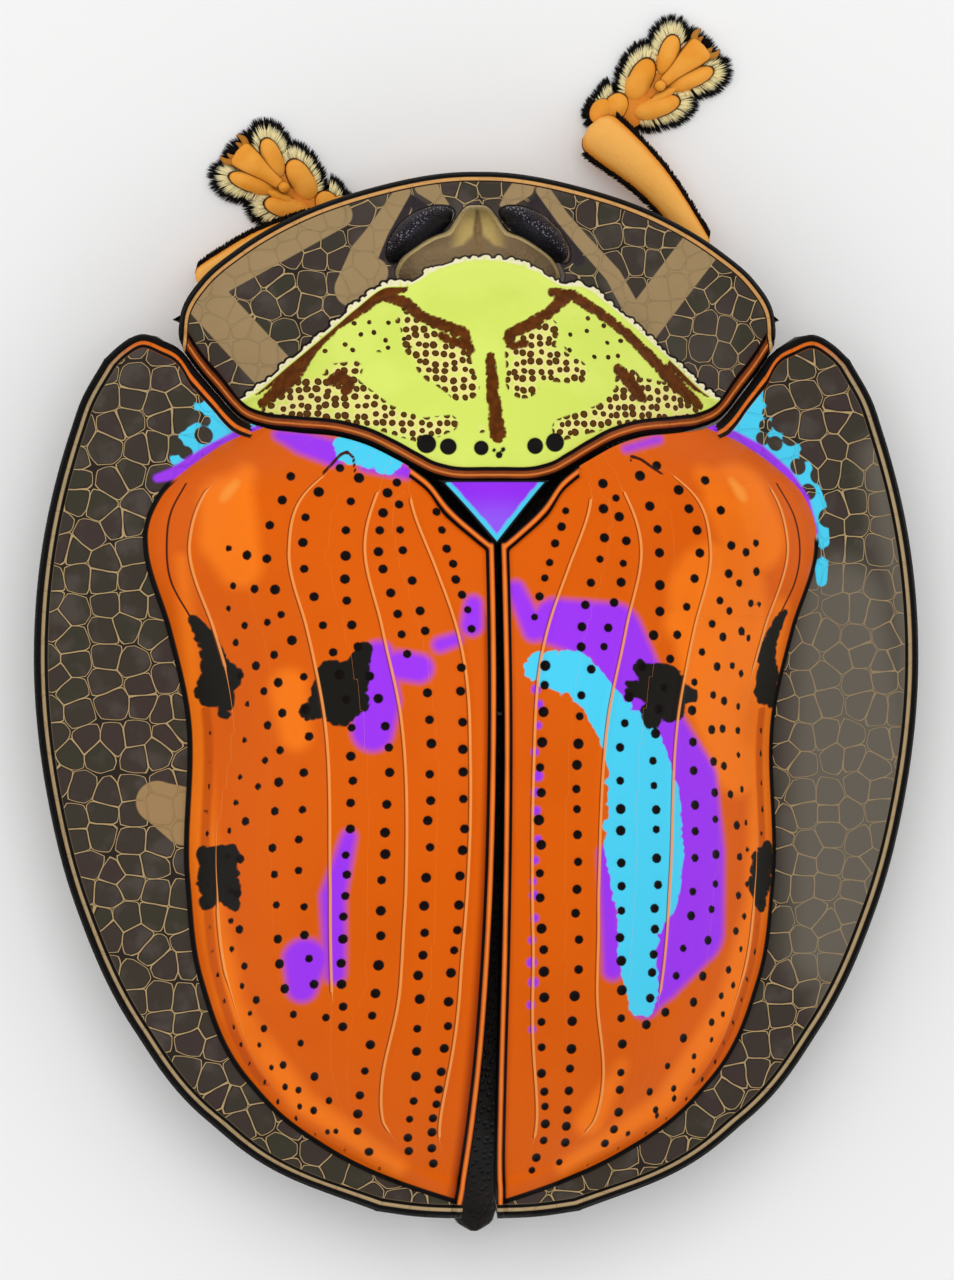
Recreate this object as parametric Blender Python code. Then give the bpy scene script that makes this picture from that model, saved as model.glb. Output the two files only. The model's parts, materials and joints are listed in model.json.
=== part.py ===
"""Tortoise beetle, a life-size still model. The animal faces -Y and stands on z = 0."""
import math

import bmesh
import bpy
import numpy as np
from mathutils import Matrix, Vector

MM = 0.001

# Sizes in millimetres.
SHELL = 0.5  # thickness of elytra and pronotum
GAP = 0.25  # clearance between neighbouring parts
ELYTRON_ROWS = 27
PRONOTUM_ROWS = 15
PRONOTUM_COLUMNS = 27
COSTA_HEIGHT = 0.07
COSTA_SHARE = 0.026  # half width of a costa as a share of the disc
RIM_HEIGHT = 0.07
DOME_POWER = 2.3
DOME_ROUND = 0.82
MARGIN_BEND = 1.25
CALLUS = (3.6, -1.9, 0.85, 0.34)  # x, y, reach, height
PRONOTUM_CENTRE = -1.9
PRONOTUM_DISC = 3.35
PRONOTUM_TOP = 5.15
HEAD_CENTRE = (0.0, -5.15, 1.26)
HEAD_RADII = (1.1, 0.54, 0.6)
EYE_CENTRE = (0.84, -5.54, 1.28)
EYE_RADII = (0.57, 0.26, 0.33)
EYE_TURN = 36.0
EYE_BED = 0.12  # clearance between an eye and its socket
TARSUS_LENGTH = 1.9

COLOURS = {
    "elytron": ((0.72, 0.15, 0.01), 0.3, 0.0),
    "pronotum": ((0.66, 0.78, 0.15), 0.35, 0.0),
    "scutellum": ((0.38, 0.04, 0.85), 0.3, 0.3),
    "body": ((0.03, 0.025, 0.02), 0.5, 0.0),
    "head": ((0.16, 0.10, 0.035), 0.45, 0.0),
    "eye": ((0.035, 0.035, 0.04), 0.2, 0.0),
    "antenna": ((0.45, 0.22, 0.07), 0.5, 0.0),
    "leg": ((0.75, 0.32, 0.04), 0.45, 0.0),
}


def curve(*points):
    """A smooth function through a few (place, value) points."""
    places = np.array([p[0] for p in points], float)
    values = np.array([p[1] for p in points], float)
    slopes = np.gradient(values, places)

    def at(place):
        place = np.clip(place, places[0], places[-1])
        i = np.clip(np.searchsorted(places, place) - 1, 0, len(places) - 2)
        span = places[i + 1] - places[i]
        t = (place - places[i]) / span
        near = (2 * t**3 - 3 * t**2 + 1) * values[i] + (t**3 - 2 * t**2 + t) * span * slopes[i]
        far = (3 * t**2 - 2 * t**3) * values[i + 1] + (t**3 - t**2) * span * slopes[i + 1]
        return near + far

    return at


# The shell in plan: half widths along the body, front to tail.
outer_width = curve((-3.76, 5.34), (-3.19, 5.66), (-2.76, 5.81), (-1.47, 6.15), (0.4, 6.336),
                    (2.39, 6.16), (4.1, 5.72), (5.81, 4.91), (7.1, 3.87), (7.96, 2.61), (8.39, 1.46))
disc_width = curve((-3.6, 2.9), (-3.1, 3.25), (-2.76, 3.55), (-2.04, 4.4), (-1.15, 4.77),
                   (0.1, 4.45), (1.17, 4.2), (3.67, 4.18), (5.1, 3.98), (6.53, 3.3),
                   (7.24, 2.56), (7.96, 1.21), (8.45, 0.72))
suture_gap = curve((-3.0, 0.13), (4.5, 0.13), (6.5, 0.16), (8.5, 0.25))
front_edge = curve((0.1, -1.12), (0.5, -1.52), (0.86, -1.95), (1.4, -2.36), (1.96, -2.62),
                   (2.7, -2.86), (3.32, -3.05), (3.8, -3.47), (4.2, -3.8), (4.5, -4.02), (4.82, -4.12),
                    (5.1, -3.98), (5.34, -3.76))
rear_edge = curve((0.1, 8.5), (0.9, 8.47), (1.5, 8.39))
# Costae as shares of the disc, from the suture outwards.
costa_1 = curve((-2.4, 0.29), (-1.9, 0.28), (-0.8, 0.194), (0.4, 0.122), (2.0, 0.098),
                (4.5, 0.105), (6.2, 0.14), (7.6, 0.25))
costa_2 = curve((-2.8, 0.36), (-2.0, 0.375), (-1.3, 0.403), (0.1, 0.382), (1.4, 0.343),
                (4.2, 0.322), (5.4, 0.35), (7.1, 0.52))
costa_3 = curve((-3.0, 0.5), (-2.4, 0.52), (-1.8, 0.605), (-1.0, 0.624), (0.5, 0.608),
                (3.9, 0.572), (5.4, 0.59), (7.1, 0.7))
costa_4 = curve((-3.0, 0.86), (-1.85, 0.89), (-0.5, 0.888), (1.0, 0.87), (3.0, 0.915),
                (5.0, 0.92), (7.0, 0.92))
costa_strength = (
    curve((-2.2, 0.3), (-1.6, 1.0), (7.0, 1.0), (8.0, 0.0)),
    curve((-2.6, 0.3), (-1.8, 1.0), (6.8, 1.0), (7.8, 0.0)),
    curve((-2.8, 0.5), (-2.2, 1.2), (4.6, 1.0), (5.6, 0.0)),
    curve((-3.0, 0.0), (-2.2, 0.7), (-0.4, 1.0), (1.0, 0.5), (5.0, 0.4), (7.0, 0.0)),
)
# Heights of the shell: along the middle, at the foot of the dome and at the rim.
crest_height = curve((-2.9, 4.65), (-2.0, 5.3), (-1.2, 5.7), (0.0, 6.12), (1.1, 6.3), (2.2, 6.24),
                     (3.5, 5.92), (4.8, 5.32), (6.0, 4.48), (7.0, 3.55), (7.8, 2.68), (8.5, 2.1))
foot_height = curve((-4.0, 2.0), (-3.1, 2.42), (-2.3, 2.62), (-1.0, 2.5), (0.6, 2.38),
                    (4.0, 2.28), (6.5, 2.1), (8.5, 1.98))
rim_height = curve((-4.1, 1.72), (-2.5, 1.62), (1.0, 1.56), (5.0, 1.6), (8.5, 1.78))
# The pronotum in plan: radius by angle from straight ahead, and its hind edge by x.
pronotum_radius = curve((0, 4.54), (20.5, 4.58), (34, 4.72), (45.3, 4.87), (53, 4.97),
                        (58.8, 4.95), (63, 4.8), (90, 4.8))
hind_edge = curve((0.0, -2.03), (0.68, -2.2), (1.3, -2.62), (1.96, -2.88), (2.7, -3.1),
                  (3.32, -3.36), (3.8, -3.76), (4.22, -4.12))
# Underparts: half width, middle of the belly, and height of the flanks.
body_width = curve((-4.45, 1.3), (-3.8, 2.0), (-2.6, 2.4), (-1.4, 3.4), (0.6, 3.55), (3.6, 3.4),
                   (5.6, 3.05), (6.8, 2.05), (7.6, 1.05), (8.15, 0.46), (8.42, 0.3), (8.68, 0.17))
belly_height = curve((-4.4, 1.6), (-3.4, 1.42), (1.2, 1.4), (5.0, 1.3), (6.6, 1.2),
                     (7.7, 1.0), (8.6, 0.72))
flank_height = curve((-4.4, 1.95), (-2.0, 2.1), (3.0, 2.05), (6.0, 1.8), (7.6, 1.4), (8.6, 1.0))


def dome(x, y):
    """Height of the elytra without costae, callus and rim."""
    edge = disc_width(y)
    foot = foot_height(y)
    share = np.clip(x / edge, 0.0, 1.0)
    disc = foot + (crest_height(y) - foot) * (1.0 - share**DOME_POWER) ** DOME_ROUND
    out = np.clip((x - edge) / np.maximum(outer_width(y) - edge, 0.05), 0.0, 1.0)
    margin = rim_height(y) + (foot - rim_height(y)) * (1.0 - out) ** MARGIN_BEND
    return np.where(x < edge, disc, margin)


def callus(x, y):
    spread = ((x - CALLUS[0]) ** 2 + (y - CALLUS[1]) ** 2) / CALLUS[2] ** 2
    return CALLUS[3] * np.exp(-1.6 * spread)


def pronotum_height(x, y):
    """Height of the pronotum: a round disc that rises backwards, and its flat margin."""
    ahead = PRONOTUM_CENTRE - y
    radius = np.hypot(x, ahead)
    angle = np.degrees(np.arctan2(np.abs(x), np.maximum(ahead, 0.01)))
    rim = 1.9 - 0.22 * np.clip(angle / 65.0, 0.0, 1.0) ** 2
    foot = 2.9 - 0.42 * np.clip(angle / 65.0, 0.0, 1.0) ** 1.5
    share = np.clip(radius / PRONOTUM_DISC, 0.0, 1.0)
    disc = foot + (PRONOTUM_TOP - foot) * (1.0 - share**1.8) ** 0.88
    out = (radius - PRONOTUM_DISC) / (pronotum_radius(angle) - PRONOTUM_DISC)
    margin = rim + (foot - rim) * (1.0 - np.clip(out, 0.0, 1.0)) ** MARGIN_BEND
    return np.where(radius < PRONOTUM_DISC, disc, margin)


def material(name):
    if name in bpy.data.materials:
        return bpy.data.materials[name]
    colour, roughness, metallic = COLOURS[name]
    made = bpy.data.materials.new(name)
    made.use_nodes = True
    shader = made.node_tree.nodes["Principled BSDF"]
    shader.inputs["Base Color"].default_value = (*colour, 1.0)
    shader.inputs["Roughness"].default_value = roughness
    shader.inputs["Metallic"].default_value = metallic
    made.diffuse_color = (*colour, 1.0)
    return made


def place(name, mesh, colour):
    """One named object with its own material, parented to the model's empty."""
    own = material(colour).copy()
    own.name = name + "_surface"
    mesh.materials.clear()
    mesh.materials.append(own)
    made = bpy.data.objects.new(name, mesh)
    parts.objects.link(made)
    made.parent = root
    return made


def mesh_of(name, points, faces):
    mesh = bpy.data.meshes.new(name)
    mesh.from_pydata([tuple(p) for p in points], [], faces)
    form = bmesh.new()
    form.from_mesh(mesh)
    bmesh.ops.recalc_face_normals(form, faces=form.faces)
    form.to_mesh(mesh)
    form.free()
    return mesh


def sheet_normals(sheet):
    along = np.gradient(sheet, axis=0)
    across = np.gradient(sheet, axis=1)
    normal = np.cross(along, across)
    normal /= np.linalg.norm(normal, axis=2, keepdims=True)
    return np.where(normal[:, :, 2:] < 0, -normal, normal)


def sheet_solid(name, top, under):
    """A closed loft between two sheets of points with the same rows and columns."""
    columns, rows = top.shape[:2]
    points = np.concatenate([top.reshape(-1, 3), under.reshape(-1, 3)]) * MM
    below = columns * rows
    faces = []
    for i in range(columns - 1):
        for j in range(rows - 1):
            a = i * rows + j
            b = a + rows
            faces.append((a, b, b + 1))
            faces.append((a, b + 1, a + 1))
            faces.append((a + below, b + 1 + below, b + below))
            faces.append((a + below, a + 1 + below, b + 1 + below))
    for i in range(columns - 1):
        for j, turn in ((0, False), (rows - 1, True)):
            a = i * rows + j
            b = a + rows
            ring = (a, b, b + below, a + below)
            ring = ring[::-1] if turn else ring
            faces.append((ring[0], ring[1], ring[2]))
            faces.append((ring[0], ring[2], ring[3]))
    for j in range(rows - 1):
        for i, turn in ((0, True), (columns - 1, False)):
            a = i * rows + j
            ring = (a, a + 1, a + 1 + below, a + below)
            ring = ring[::-1] if turn else ring
            faces.append((ring[0], ring[1], ring[2]))
            faces.append((ring[0], ring[2], ring[3]))
    return mesh_of(name, points, faces)


def elytron_columns():
    """Each column: share of the disc or of the margin, and which costa it carries how strongly."""
    costae = (costa_1, costa_2, costa_3, costa_4)
    columns = [(lambda y: 0.0 * y, 0.0, None, 0.0)]
    columns.append((lambda y: 0.17 / disc_width(y), 0.0, None, 0.0))
    last = None
    for index, costa in enumerate(costae):
        if last is not None:
            columns.append((lambda y, a=last, b=costa: 0.5 * (a(y) + b(y)), 0.0, None, 0.0))
        for side, strength in ((-1, 0.0), (0, 1.0), (1, 0.0)):
            columns.append((lambda y, c=costa, s=side: c(y) + s * COSTA_SHARE, 0.0, index, strength))
        last = costa
    for share in (0.968, 1.0):
        columns.append((lambda y, s=share: s + 0.0 * y, 0.0, None, 0.0))
    for out in (0.22, 0.5, 0.76, 0.93, 0.97, 1.0):
        columns.append((None, out, None, 0.0))
    return columns


def column_x(share, out, y):
    inner = suture_gap(y)
    if share is None:
        return disc_width(y) + out * (outer_width(y) - disc_width(y))
    return inner + share(y) * (disc_width(y) - inner)


def elytron(name, side):
    columns = elytron_columns()
    steps = np.linspace(0.0, 1.0, ELYTRON_ROWS)
    steps = 0.45 * steps + 0.275 * (1.0 - np.cos(steps * math.pi))
    top = np.zeros((len(columns), ELYTRON_ROWS, 3))
    smooth = np.zeros_like(top)
    for i, (share, out, costa, strength) in enumerate(columns):
        start = -2.5
        end = 8.45
        for _ in range(40):
            start = 0.5 * (start + float(front_edge(column_x(share, out, start))))
            end = 0.5 * (end + float(rear_edge(column_x(share, out, end))))
        y = start + (end - start) * steps
        x = column_x(share, out, y)
        z = dome(x, y)
        smooth[i] = np.stack([x, y, z], axis=1)
        raised = z + callus(x, y)
        if costa is not None:
            raised = raised + COSTA_HEIGHT * strength * costa_strength[costa](y)
        if i == 0:
            raised = raised + RIM_HEIGHT
        if share is None and out >= 0.97:
            raised = raised + RIM_HEIGHT
        top[i] = np.stack([x, y, raised], axis=1)
    under = smooth - SHELL * sheet_normals(smooth)
    under[0, :, 0] = np.maximum(under[0, :, 0], smooth[0, :, 0])
    for sheet in (top, under):
        sheet[:, :, 0] *= side
    return place(name, sheet_solid(name, top, under), "elytron")


def pronotum():
    turns = np.linspace(-1.0, 1.0, PRONOTUM_COLUMNS)
    downs = np.array([0.0, 0.03, 0.06] + list(np.linspace(0.13, 0.93, PRONOTUM_ROWS - 5)) + [0.965, 1.0])
    top = np.zeros((PRONOTUM_COLUMNS, PRONOTUM_ROWS, 3))
    for i, turn in enumerate(turns):
        angle = math.radians(60.5 * abs(turn) ** 0.93)
        reach = float(pronotum_radius(math.degrees(angle)))
        sign = -1.0 if turn < 0 else 1.0
        front = np.array([sign * reach * math.sin(angle), PRONOTUM_CENTRE - reach * math.cos(angle)])
        hind_x = 4.2 * abs(turn) ** 0.95
        hind = np.array([sign * hind_x, float(hind_edge(hind_x))])
        plan = front + (hind - front) * downs[:, None]
        top[i, :, :2] = plan
        top[i, :, 2] = pronotum_height(plan[:, 0], plan[:, 1])
    under = top - SHELL * sheet_normals(top)
    under[:, -1, 1] = np.minimum(under[:, -1, 1], top[:, -1, 1])
    top[:, :2, 2] += RIM_HEIGHT
    top[:, -1, 2] += RIM_HEIGHT
    return place("pronotum", sheet_solid("pronotum", top, under), "pronotum")


def scutellum():
    """A small triangle between the bases of the elytra."""
    base = -1.79
    tip = -1.36
    top = np.zeros((7, 5, 3))
    for i, across in enumerate(np.linspace(-1.0, 1.0, 7)):
        for j, back in enumerate(np.linspace(0.0, 1.0, 5)):
            half = 0.44 + (0.06 - 0.44) * back
            y = base + (tip - base) * back
            top[i, j] = (across * half, y, float(crest_height(y)) - 0.03 - 0.10 * across**2)
    under = top - np.array([0.0, 0.0, SHELL])
    return place("scutellum", sheet_solid("scutellum", top, under), "scutellum")


def underpart(name, first, last, rows, plates):
    """Thorax or abdomen: a closed body under the shell, with sternites stepped across it."""
    downs = np.linspace(first, last, rows)
    across = np.sin(np.linspace(-0.5, 0.5, 15) * math.pi)
    top = np.zeros((15, rows, 3))
    under = np.zeros((15, rows, 3))
    for j, y in enumerate(downs):
        width = float(body_width(y))
        flank = float(flank_height(y))
        roof = float(crest_height(y)) if y > -2.1 else float(pronotum_height(0.0, y))
        roof = max(roof - SHELL - GAP - 0.25, flank + 0.12)
        step = 0.0 if plates == 0 else 0.07 * ((j % 2) * 2 - 1)
        for i, share in enumerate(across):
            x = share * width
            round_off = math.sqrt(max(0.0, 1.0 - share**2))
            keel = 1.0 - min(1.0, max(0.0, (abs(x) - 0.45) / 0.75)) if y < 1.4 else round_off
            low = float(belly_height(y))
            side_low = max(low, flank - 0.2)
            top[i, j] = (x, y, flank + (roof - flank) * round_off**1.2)
            under[i, j] = (x, y, side_low + (low - side_low) * keel + step * round_off)
            if abs(share) > 0.999:
                top[i, j, 2] = flank
                under[i, j, 2] = flank - 0.18
    return sheet_solid(name, top, under)


def ball(name, centre, radii, turn=(0, 0, 0), segments=12, rings=8, grow=0.0):
    """A closed ellipsoid as a mesh object in the pieces collection."""
    form = bmesh.new()
    bmesh.ops.create_uvsphere(form, u_segments=segments, v_segments=rings, radius=1.0)
    sizes = Matrix.Diagonal((*[(r + grow) * MM for r in radii], 1.0))
    spin = Matrix.Rotation(math.radians(turn[2]), 4, "Z") @ Matrix.Rotation(math.radians(turn[1]), 4, "Y")
    spin = spin @ Matrix.Rotation(math.radians(turn[0]), 4, "X")
    shift = Matrix.Translation(Vector(centre) * MM)
    bmesh.ops.transform(form, matrix=shift @ spin @ sizes, verts=form.verts)
    mesh = bpy.data.meshes.new(name)
    form.to_mesh(mesh)
    form.free()
    made = bpy.data.objects.new(name, mesh)
    pieces.objects.link(made)
    return made


def spike(name, start, end, thick, thin, segments=8):
    """A closed cone frustum between two points, as a piece."""
    start = Vector(start) * MM
    end = Vector(end) * MM
    form = bmesh.new()
    length = (end - start).length
    bmesh.ops.create_cone(form, cap_ends=True, cap_tris=True, segments=segments,
                          radius1=thick * MM, radius2=thin * MM, depth=length)
    aim = (end - start).to_track_quat("Z", "Y").to_matrix().to_4x4()
    bmesh.ops.transform(form, matrix=Matrix.Translation((start + end) / 2) @ aim, verts=form.verts)
    mesh = bpy.data.meshes.new(name)
    form.to_mesh(mesh)
    form.free()
    made = bpy.data.objects.new(name, mesh)
    pieces.objects.link(made)
    return made


def boolean(target, others, operation):
    """Apply one Boolean of a collection of pieces, then remove the pieces."""
    group = bpy.data.collections.new("operands")
    bpy.context.scene.collection.children.link(group)
    for other in others:
        pieces.objects.unlink(other)
        group.objects.link(other)
    modifier = target.modifiers.new("join", "BOOLEAN")
    modifier.operation = operation
    modifier.operand_type = "COLLECTION"
    modifier.collection = group
    modifier.solver = "EXACT"
    bpy.context.view_layer.update()
    graph = bpy.context.evaluated_depsgraph_get()
    mesh = bpy.data.meshes.new_from_object(target.evaluated_get(graph))
    target.modifiers.clear()
    target.data = mesh
    for other in list(group.objects):
        bpy.data.objects.remove(other)
    bpy.data.collections.remove(group)
    return target


def keep_largest(mesh, floor=False):
    """Keep the largest closed surface; cut it flat at the floor if asked."""
    form = bmesh.new()
    form.from_mesh(mesh)
    bmesh.ops.remove_doubles(form, verts=form.verts, dist=1e-7)
    if floor:
        everything = list(form.verts) + list(form.edges) + list(form.faces)
        bmesh.ops.bisect_plane(form, geom=everything, dist=1e-8, plane_co=(0, 0, 0),
                               plane_no=(0, 0, 1), clear_inner=True)
        rims = [edge for edge in form.edges if edge.is_boundary]
        bmesh.ops.holes_fill(form, edges=rims, sides=0)
    bmesh.ops.triangulate(form, faces=form.faces)
    left = set(form.verts)
    islands = []
    while left:
        grown = [left.pop()]
        island = set(grown)
        while grown:
            vert = grown.pop()
            for edge in vert.link_edges:
                other = edge.other_vert(vert)
                if other in left:
                    left.remove(other)
                    island.add(other)
                    grown.append(other)
        islands.append(island)
    biggest = max(islands, key=len)
    bmesh.ops.delete(form, geom=[v for v in form.verts if v not in biggest], context="VERTS")
    bmesh.ops.recalc_face_normals(form, faces=form.faces)
    form.to_mesh(mesh)
    form.free()
    return mesh


def union(name, made, colour, floor=False):
    first = boolean(made[0], made[1:], "UNION")
    mesh = keep_largest(first.data, floor)
    mesh.name = name
    bpy.data.objects.remove(first)
    return place(name, mesh, colour)


def thorax():
    mesh = underpart("thorax", -4.4, 1.25, 15, 0)
    body = bpy.data.objects.new("thorax_body", mesh)
    pieces.objects.link(body)
    made = [body]
    for side in (-1, 1):
        for y in (-3.35, -1.55, 0.35):
            made.append(ball("coxa", (side * 0.74, y, 1.6), (0.56, 0.42, 0.42), segments=10, rings=7))
    return union("thorax", made, "body")


def abdomen():
    mesh = underpart("abdomen", 1.55, 8.68, 20, 5)
    return place("abdomen", mesh, "body")


def head():
    made = [ball("skull", HEAD_CENTRE, HEAD_RADII, segments=18, rings=12)]
    made.append(ball("frons", (0, -5.56, 1.12), (0.42, 0.4, 0.44), segments=14, rings=9))
    made.append(spike("neck", (0, -5.05, 1.45), (0, -4.7, 1.58), 0.62, 0.52, 14))
    whole = boolean(made[0], made[1:], "UNION")
    sockets = []
    for side in (-1, 1):
        centre = (side * EYE_CENTRE[0], EYE_CENTRE[1], EYE_CENTRE[2])
        sockets.append(ball("socket", centre, EYE_RADII, (0, 0, side * EYE_TURN), 14, 9, EYE_BED))
    whole = boolean(whole, sockets, "DIFFERENCE")
    mesh = keep_largest(whole.data)
    bpy.data.objects.remove(whole)
    place("head", mesh, "head")
    for side, word in ((1, "left"), (-1, "right")):
        centre = (side * EYE_CENTRE[0], EYE_CENTRE[1], EYE_CENTRE[2])
        eye = ball("eye_piece", centre, EYE_RADII, (0, 0, side * EYE_TURN), 14, 9)
        mesh = keep_largest(eye.data)
        bpy.data.objects.remove(eye)
        place("eye_" + word, mesh, "eye")


def mouthparts():
    made = [ball("labrum", (0, -5.42, 0.38), (0.3, 0.2, 0.14), segments=12, rings=7)]
    for side in (-1, 1):
        made.append(ball("mandible", (side * 0.2, -5.25, 0.36), (0.2, 0.27, 0.15),
                         (0, 0, side * 18), 10, 7))
        made.append(ball("palp", (side * 0.42, -5.14, 0.32), (0.12, 0.3, 0.12), (0, 0, side * 30), 8, 6))
    return union("mouthparts", made, "head")


def limb(name, joints, profile, colour, sides=10):
    """A loft of flattened rings along a bent line; profile holds (share, half width, half height)."""
    joints = [Vector(j) for j in joints]
    lengths = [0.0]
    for a, b in zip(joints, joints[1:]):
        lengths.append(lengths[-1] + (b - a).length)
    points = []
    faces = []

    def centre(share):
        goal = share * lengths[-1]
        for i in range(len(joints) - 1):
            if goal <= lengths[i + 1] or i == len(joints) - 2:
                t = (goal - lengths[i]) / (lengths[i + 1] - lengths[i])
                return joints[i].lerp(joints[i + 1], t)

    for share, wide, high in profile:
        middle = centre(share)
        ahead = centre(min(1.0, share + 0.04)) - centre(max(0.0, share - 0.04))
        ahead.normalize()
        across = ahead.cross(Vector((0, 0, 1))).normalized()
        up = across.cross(ahead)
        for k in range(sides):
            turn = 2 * math.pi * k / sides
            points.append(middle + across * wide * math.cos(turn) + up * high * math.sin(turn))
    rings = len(profile)
    for r in range(rings - 1):
        for k in range(sides):
            a = r * sides + k
            b = r * sides + (k + 1) % sides
            faces.append((a, b, b + sides))
            faces.append((a, b + sides, a + sides))
    points.append(joints[0])
    points.append(joints[-1])
    for k in range(sides):
        after = (k + 1) % sides
        faces.append((after, k, len(points) - 2))
        faces.append(((rings - 1) * sides + k, (rings - 1) * sides + after, len(points) - 1))
    mesh = mesh_of(name, [p * MM for p in points], faces)
    return place(name, mesh, colour)


FEMUR = [(0.01, 0.2, 0.18), (0.07, 0.26, 0.23), (0.28, 0.34, 0.28), (0.55, 0.38, 0.3),
         (0.8, 0.33, 0.27), (0.94, 0.28, 0.24), (0.99, 0.22, 0.2)]
TIBIA = [(0.01, 0.18, 0.17), (0.06, 0.22, 0.2), (0.3, 0.26, 0.22), (0.6, 0.33, 0.25),
         (0.85, 0.37, 0.26), (0.95, 0.33, 0.24), (0.99, 0.24, 0.18)]


# Tarsal lobes from the knob at the root of the claw segment: along, towards the front, half length,
# half width, and how far each leans towards the front, in degrees.
LOBES = ((0.4, 0.25, 0.36, 0.19, 30.0), (0.4, -0.24, 0.37, 0.17, -19.0),
         (-0.13, 0.25, 0.33, 0.19, 22.0), (-0.26, -0.2, 0.35, 0.18, -24.0))
KNOB = (0.93, 0.16)  # its place along and behind the line from heel to claws


def tarsus(name, heel, toe, side):
    """Lobed tarsal segments and a clawed last segment on a bowed line, cut flat at the floor."""
    heel = Vector((heel[0], heel[1], 0.0))
    toe = Vector((toe[0], toe[1], 0.0))
    size = (toe - heel).length / TARSUS_LENGTH
    chord = (toe - heel).normalized()
    knob = heel + (chord * KNOB[0] - Vector((chord.y, -chord.x, 0.0)) * side * KNOB[1]) * size
    ahead = (toe - knob).normalized()
    front = Vector((ahead.y, -ahead.x, 0.0)) * side
    turn = math.degrees(math.atan2(ahead.y, ahead.x))

    def at(along, aside, up):
        return knob + (ahead * along + front * aside) * size + Vector((0, 0, up))

    made = [ball("segment", at(-0.66, 0.14, 0.15), (0.25, 0.19, 0.24), (0, 0, turn + side * 18), 8, 6)]
    for along, aside, long, wide, lean in LOBES:
        made.append(ball("lobe", at(along, aside, 0.13), (long, wide, 0.26),
                         (0, 0, turn - side * lean), 9, 6))
    made.append(ball("middle", at(-0.1, 0, 0.18), (0.45, 0.2, 0.26), (0, 0, turn), 8, 6))
    made.append(spike("claw_segment", at(0, 0, 0.3), at(0.8, 0, 0.26), 0.13, 0.22, 8))
    for aside in (-1, 1):
        made.append(spike("claw", at(0.7, aside * 0.1, 0.26), at(1.0, aside * 0.24, 0.1), 0.12, 0.05, 6))
    return union(name, made, "leg", floor=True)


# Hip, knee, start and end of the tibia, then heel and claws on the floor.
LEGS = {
    "front_leg_left": ((1.48, -3.55, 1.45), (4.0, -4.6, 0.88), (3.96, -4.98, 0.6),
                       (2.12, -5.58, 0.58), (1.8, -5.95), (3.46, -6.84)),
    "front_leg_right": ((-1.42, -3.62, 1.45), (-3.18, -5.16, 0.8), (-3.38, -5.38, 0.58),
                        (-1.8, -6.98, 0.48), (-1.84, -7.34), (-3.46, -8.38)),
    "middle_leg_left": ((1.48, -1.75, 1.42), (3.46, -2.62, 0.98), (3.7, -2.36, 0.78),
                        (3.82, -0.4, 0.46), (3.72, -0.26), (3.72, 1.58)),
    "middle_leg_right": ((-1.48, -1.75, 1.42), (-3.46, -2.5, 0.98), (-3.7, -2.24, 0.78),
                         (-3.76, -0.3, 0.46), (-3.66, -0.16), (-3.56, 1.66)),
    "hind_leg_left": ((1.46, 0.42, 1.42), (4.66, 2.44, 1.02), (4.62, 2.74, 0.82),
                      (3.44, 4.64, 0.46), (3.28, 4.85), (2.7, 6.62)),
    "hind_leg_right": ((-1.46, 0.42, 1.42), (-3.98, 2.18, 1.0), (-3.98, 2.46, 0.8),
                       (-3.36, 4.44, 0.46), (-3.24, 4.66), (-2.86, 6.46)),
}
ANTENNAE = {
    "left": ((0.36, -5.98, 0.86), (0.78, -6.24, 0.8), (0.98, -6.22, 0.55), (1.3, -5.7, 0.42),
             (2.0, -4.5, 0.4)),
    "right": ((-0.36, -5.98, 0.86), (-0.74, -6.26, 0.8), (-0.95, -6.24, 0.55), (-1.36, -5.75, 0.42),
              (-2.42, -4.42, 0.4)),
}


def antennae():
    for word, (base, bend, turn, middle, end) in ANTENNAE.items():
        stalk = [(0.05, 0.14, 0.14), (0.25, 0.2, 0.2), (0.5, 0.22, 0.22), (0.8, 0.2, 0.2), (0.97, 0.12, 0.12)]
        limb("antenna_base_" + word, (base, bend), stalk, "antenna", 10)
        beads = []
        count = 8
        for k in range(count):
            low = 0.19 + 0.05 * k / count
            high = 0.25 + 0.04 * k / count
            beads.append(((k + 0.1) / count, low * 0.9, low * 0.8))
            beads.append(((k + 0.6) / count, high, high * 0.85))
        beads.append((0.985, 0.16, 0.14))
        limb("antenna_" + word, (turn, middle, end), beads, "antenna", 8)


def legs():
    for name, (hip, knee, bend, ankle, heel, toe) in LEGS.items():
        limb(name + "_femur", (hip, knee), FEMUR, "leg")
        limb(name + "_tibia", (bend, ankle), TIBIA, "leg")
        tarsus(name + "_tarsus", heel, toe, 1 if hip[0] > 0 else -1)


for old in list(bpy.data.objects):
    bpy.data.objects.remove(old)
parts = bpy.data.collections.new("tortoise_beetle")
pieces = bpy.data.collections.new("construction")
bpy.context.scene.collection.children.link(parts)
bpy.context.scene.collection.children.link(pieces)
root = bpy.data.objects.new("beetle", None)
parts.objects.link(root)

elytron("elytron_left", 1)
elytron("elytron_right", -1)
pronotum()
scutellum()
thorax()
abdomen()
head()
mouthparts()
antennae()
legs()
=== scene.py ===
import json
import math

import bmesh
import bpy
import numpy as np
from mathutils import Matrix, Vector

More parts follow.
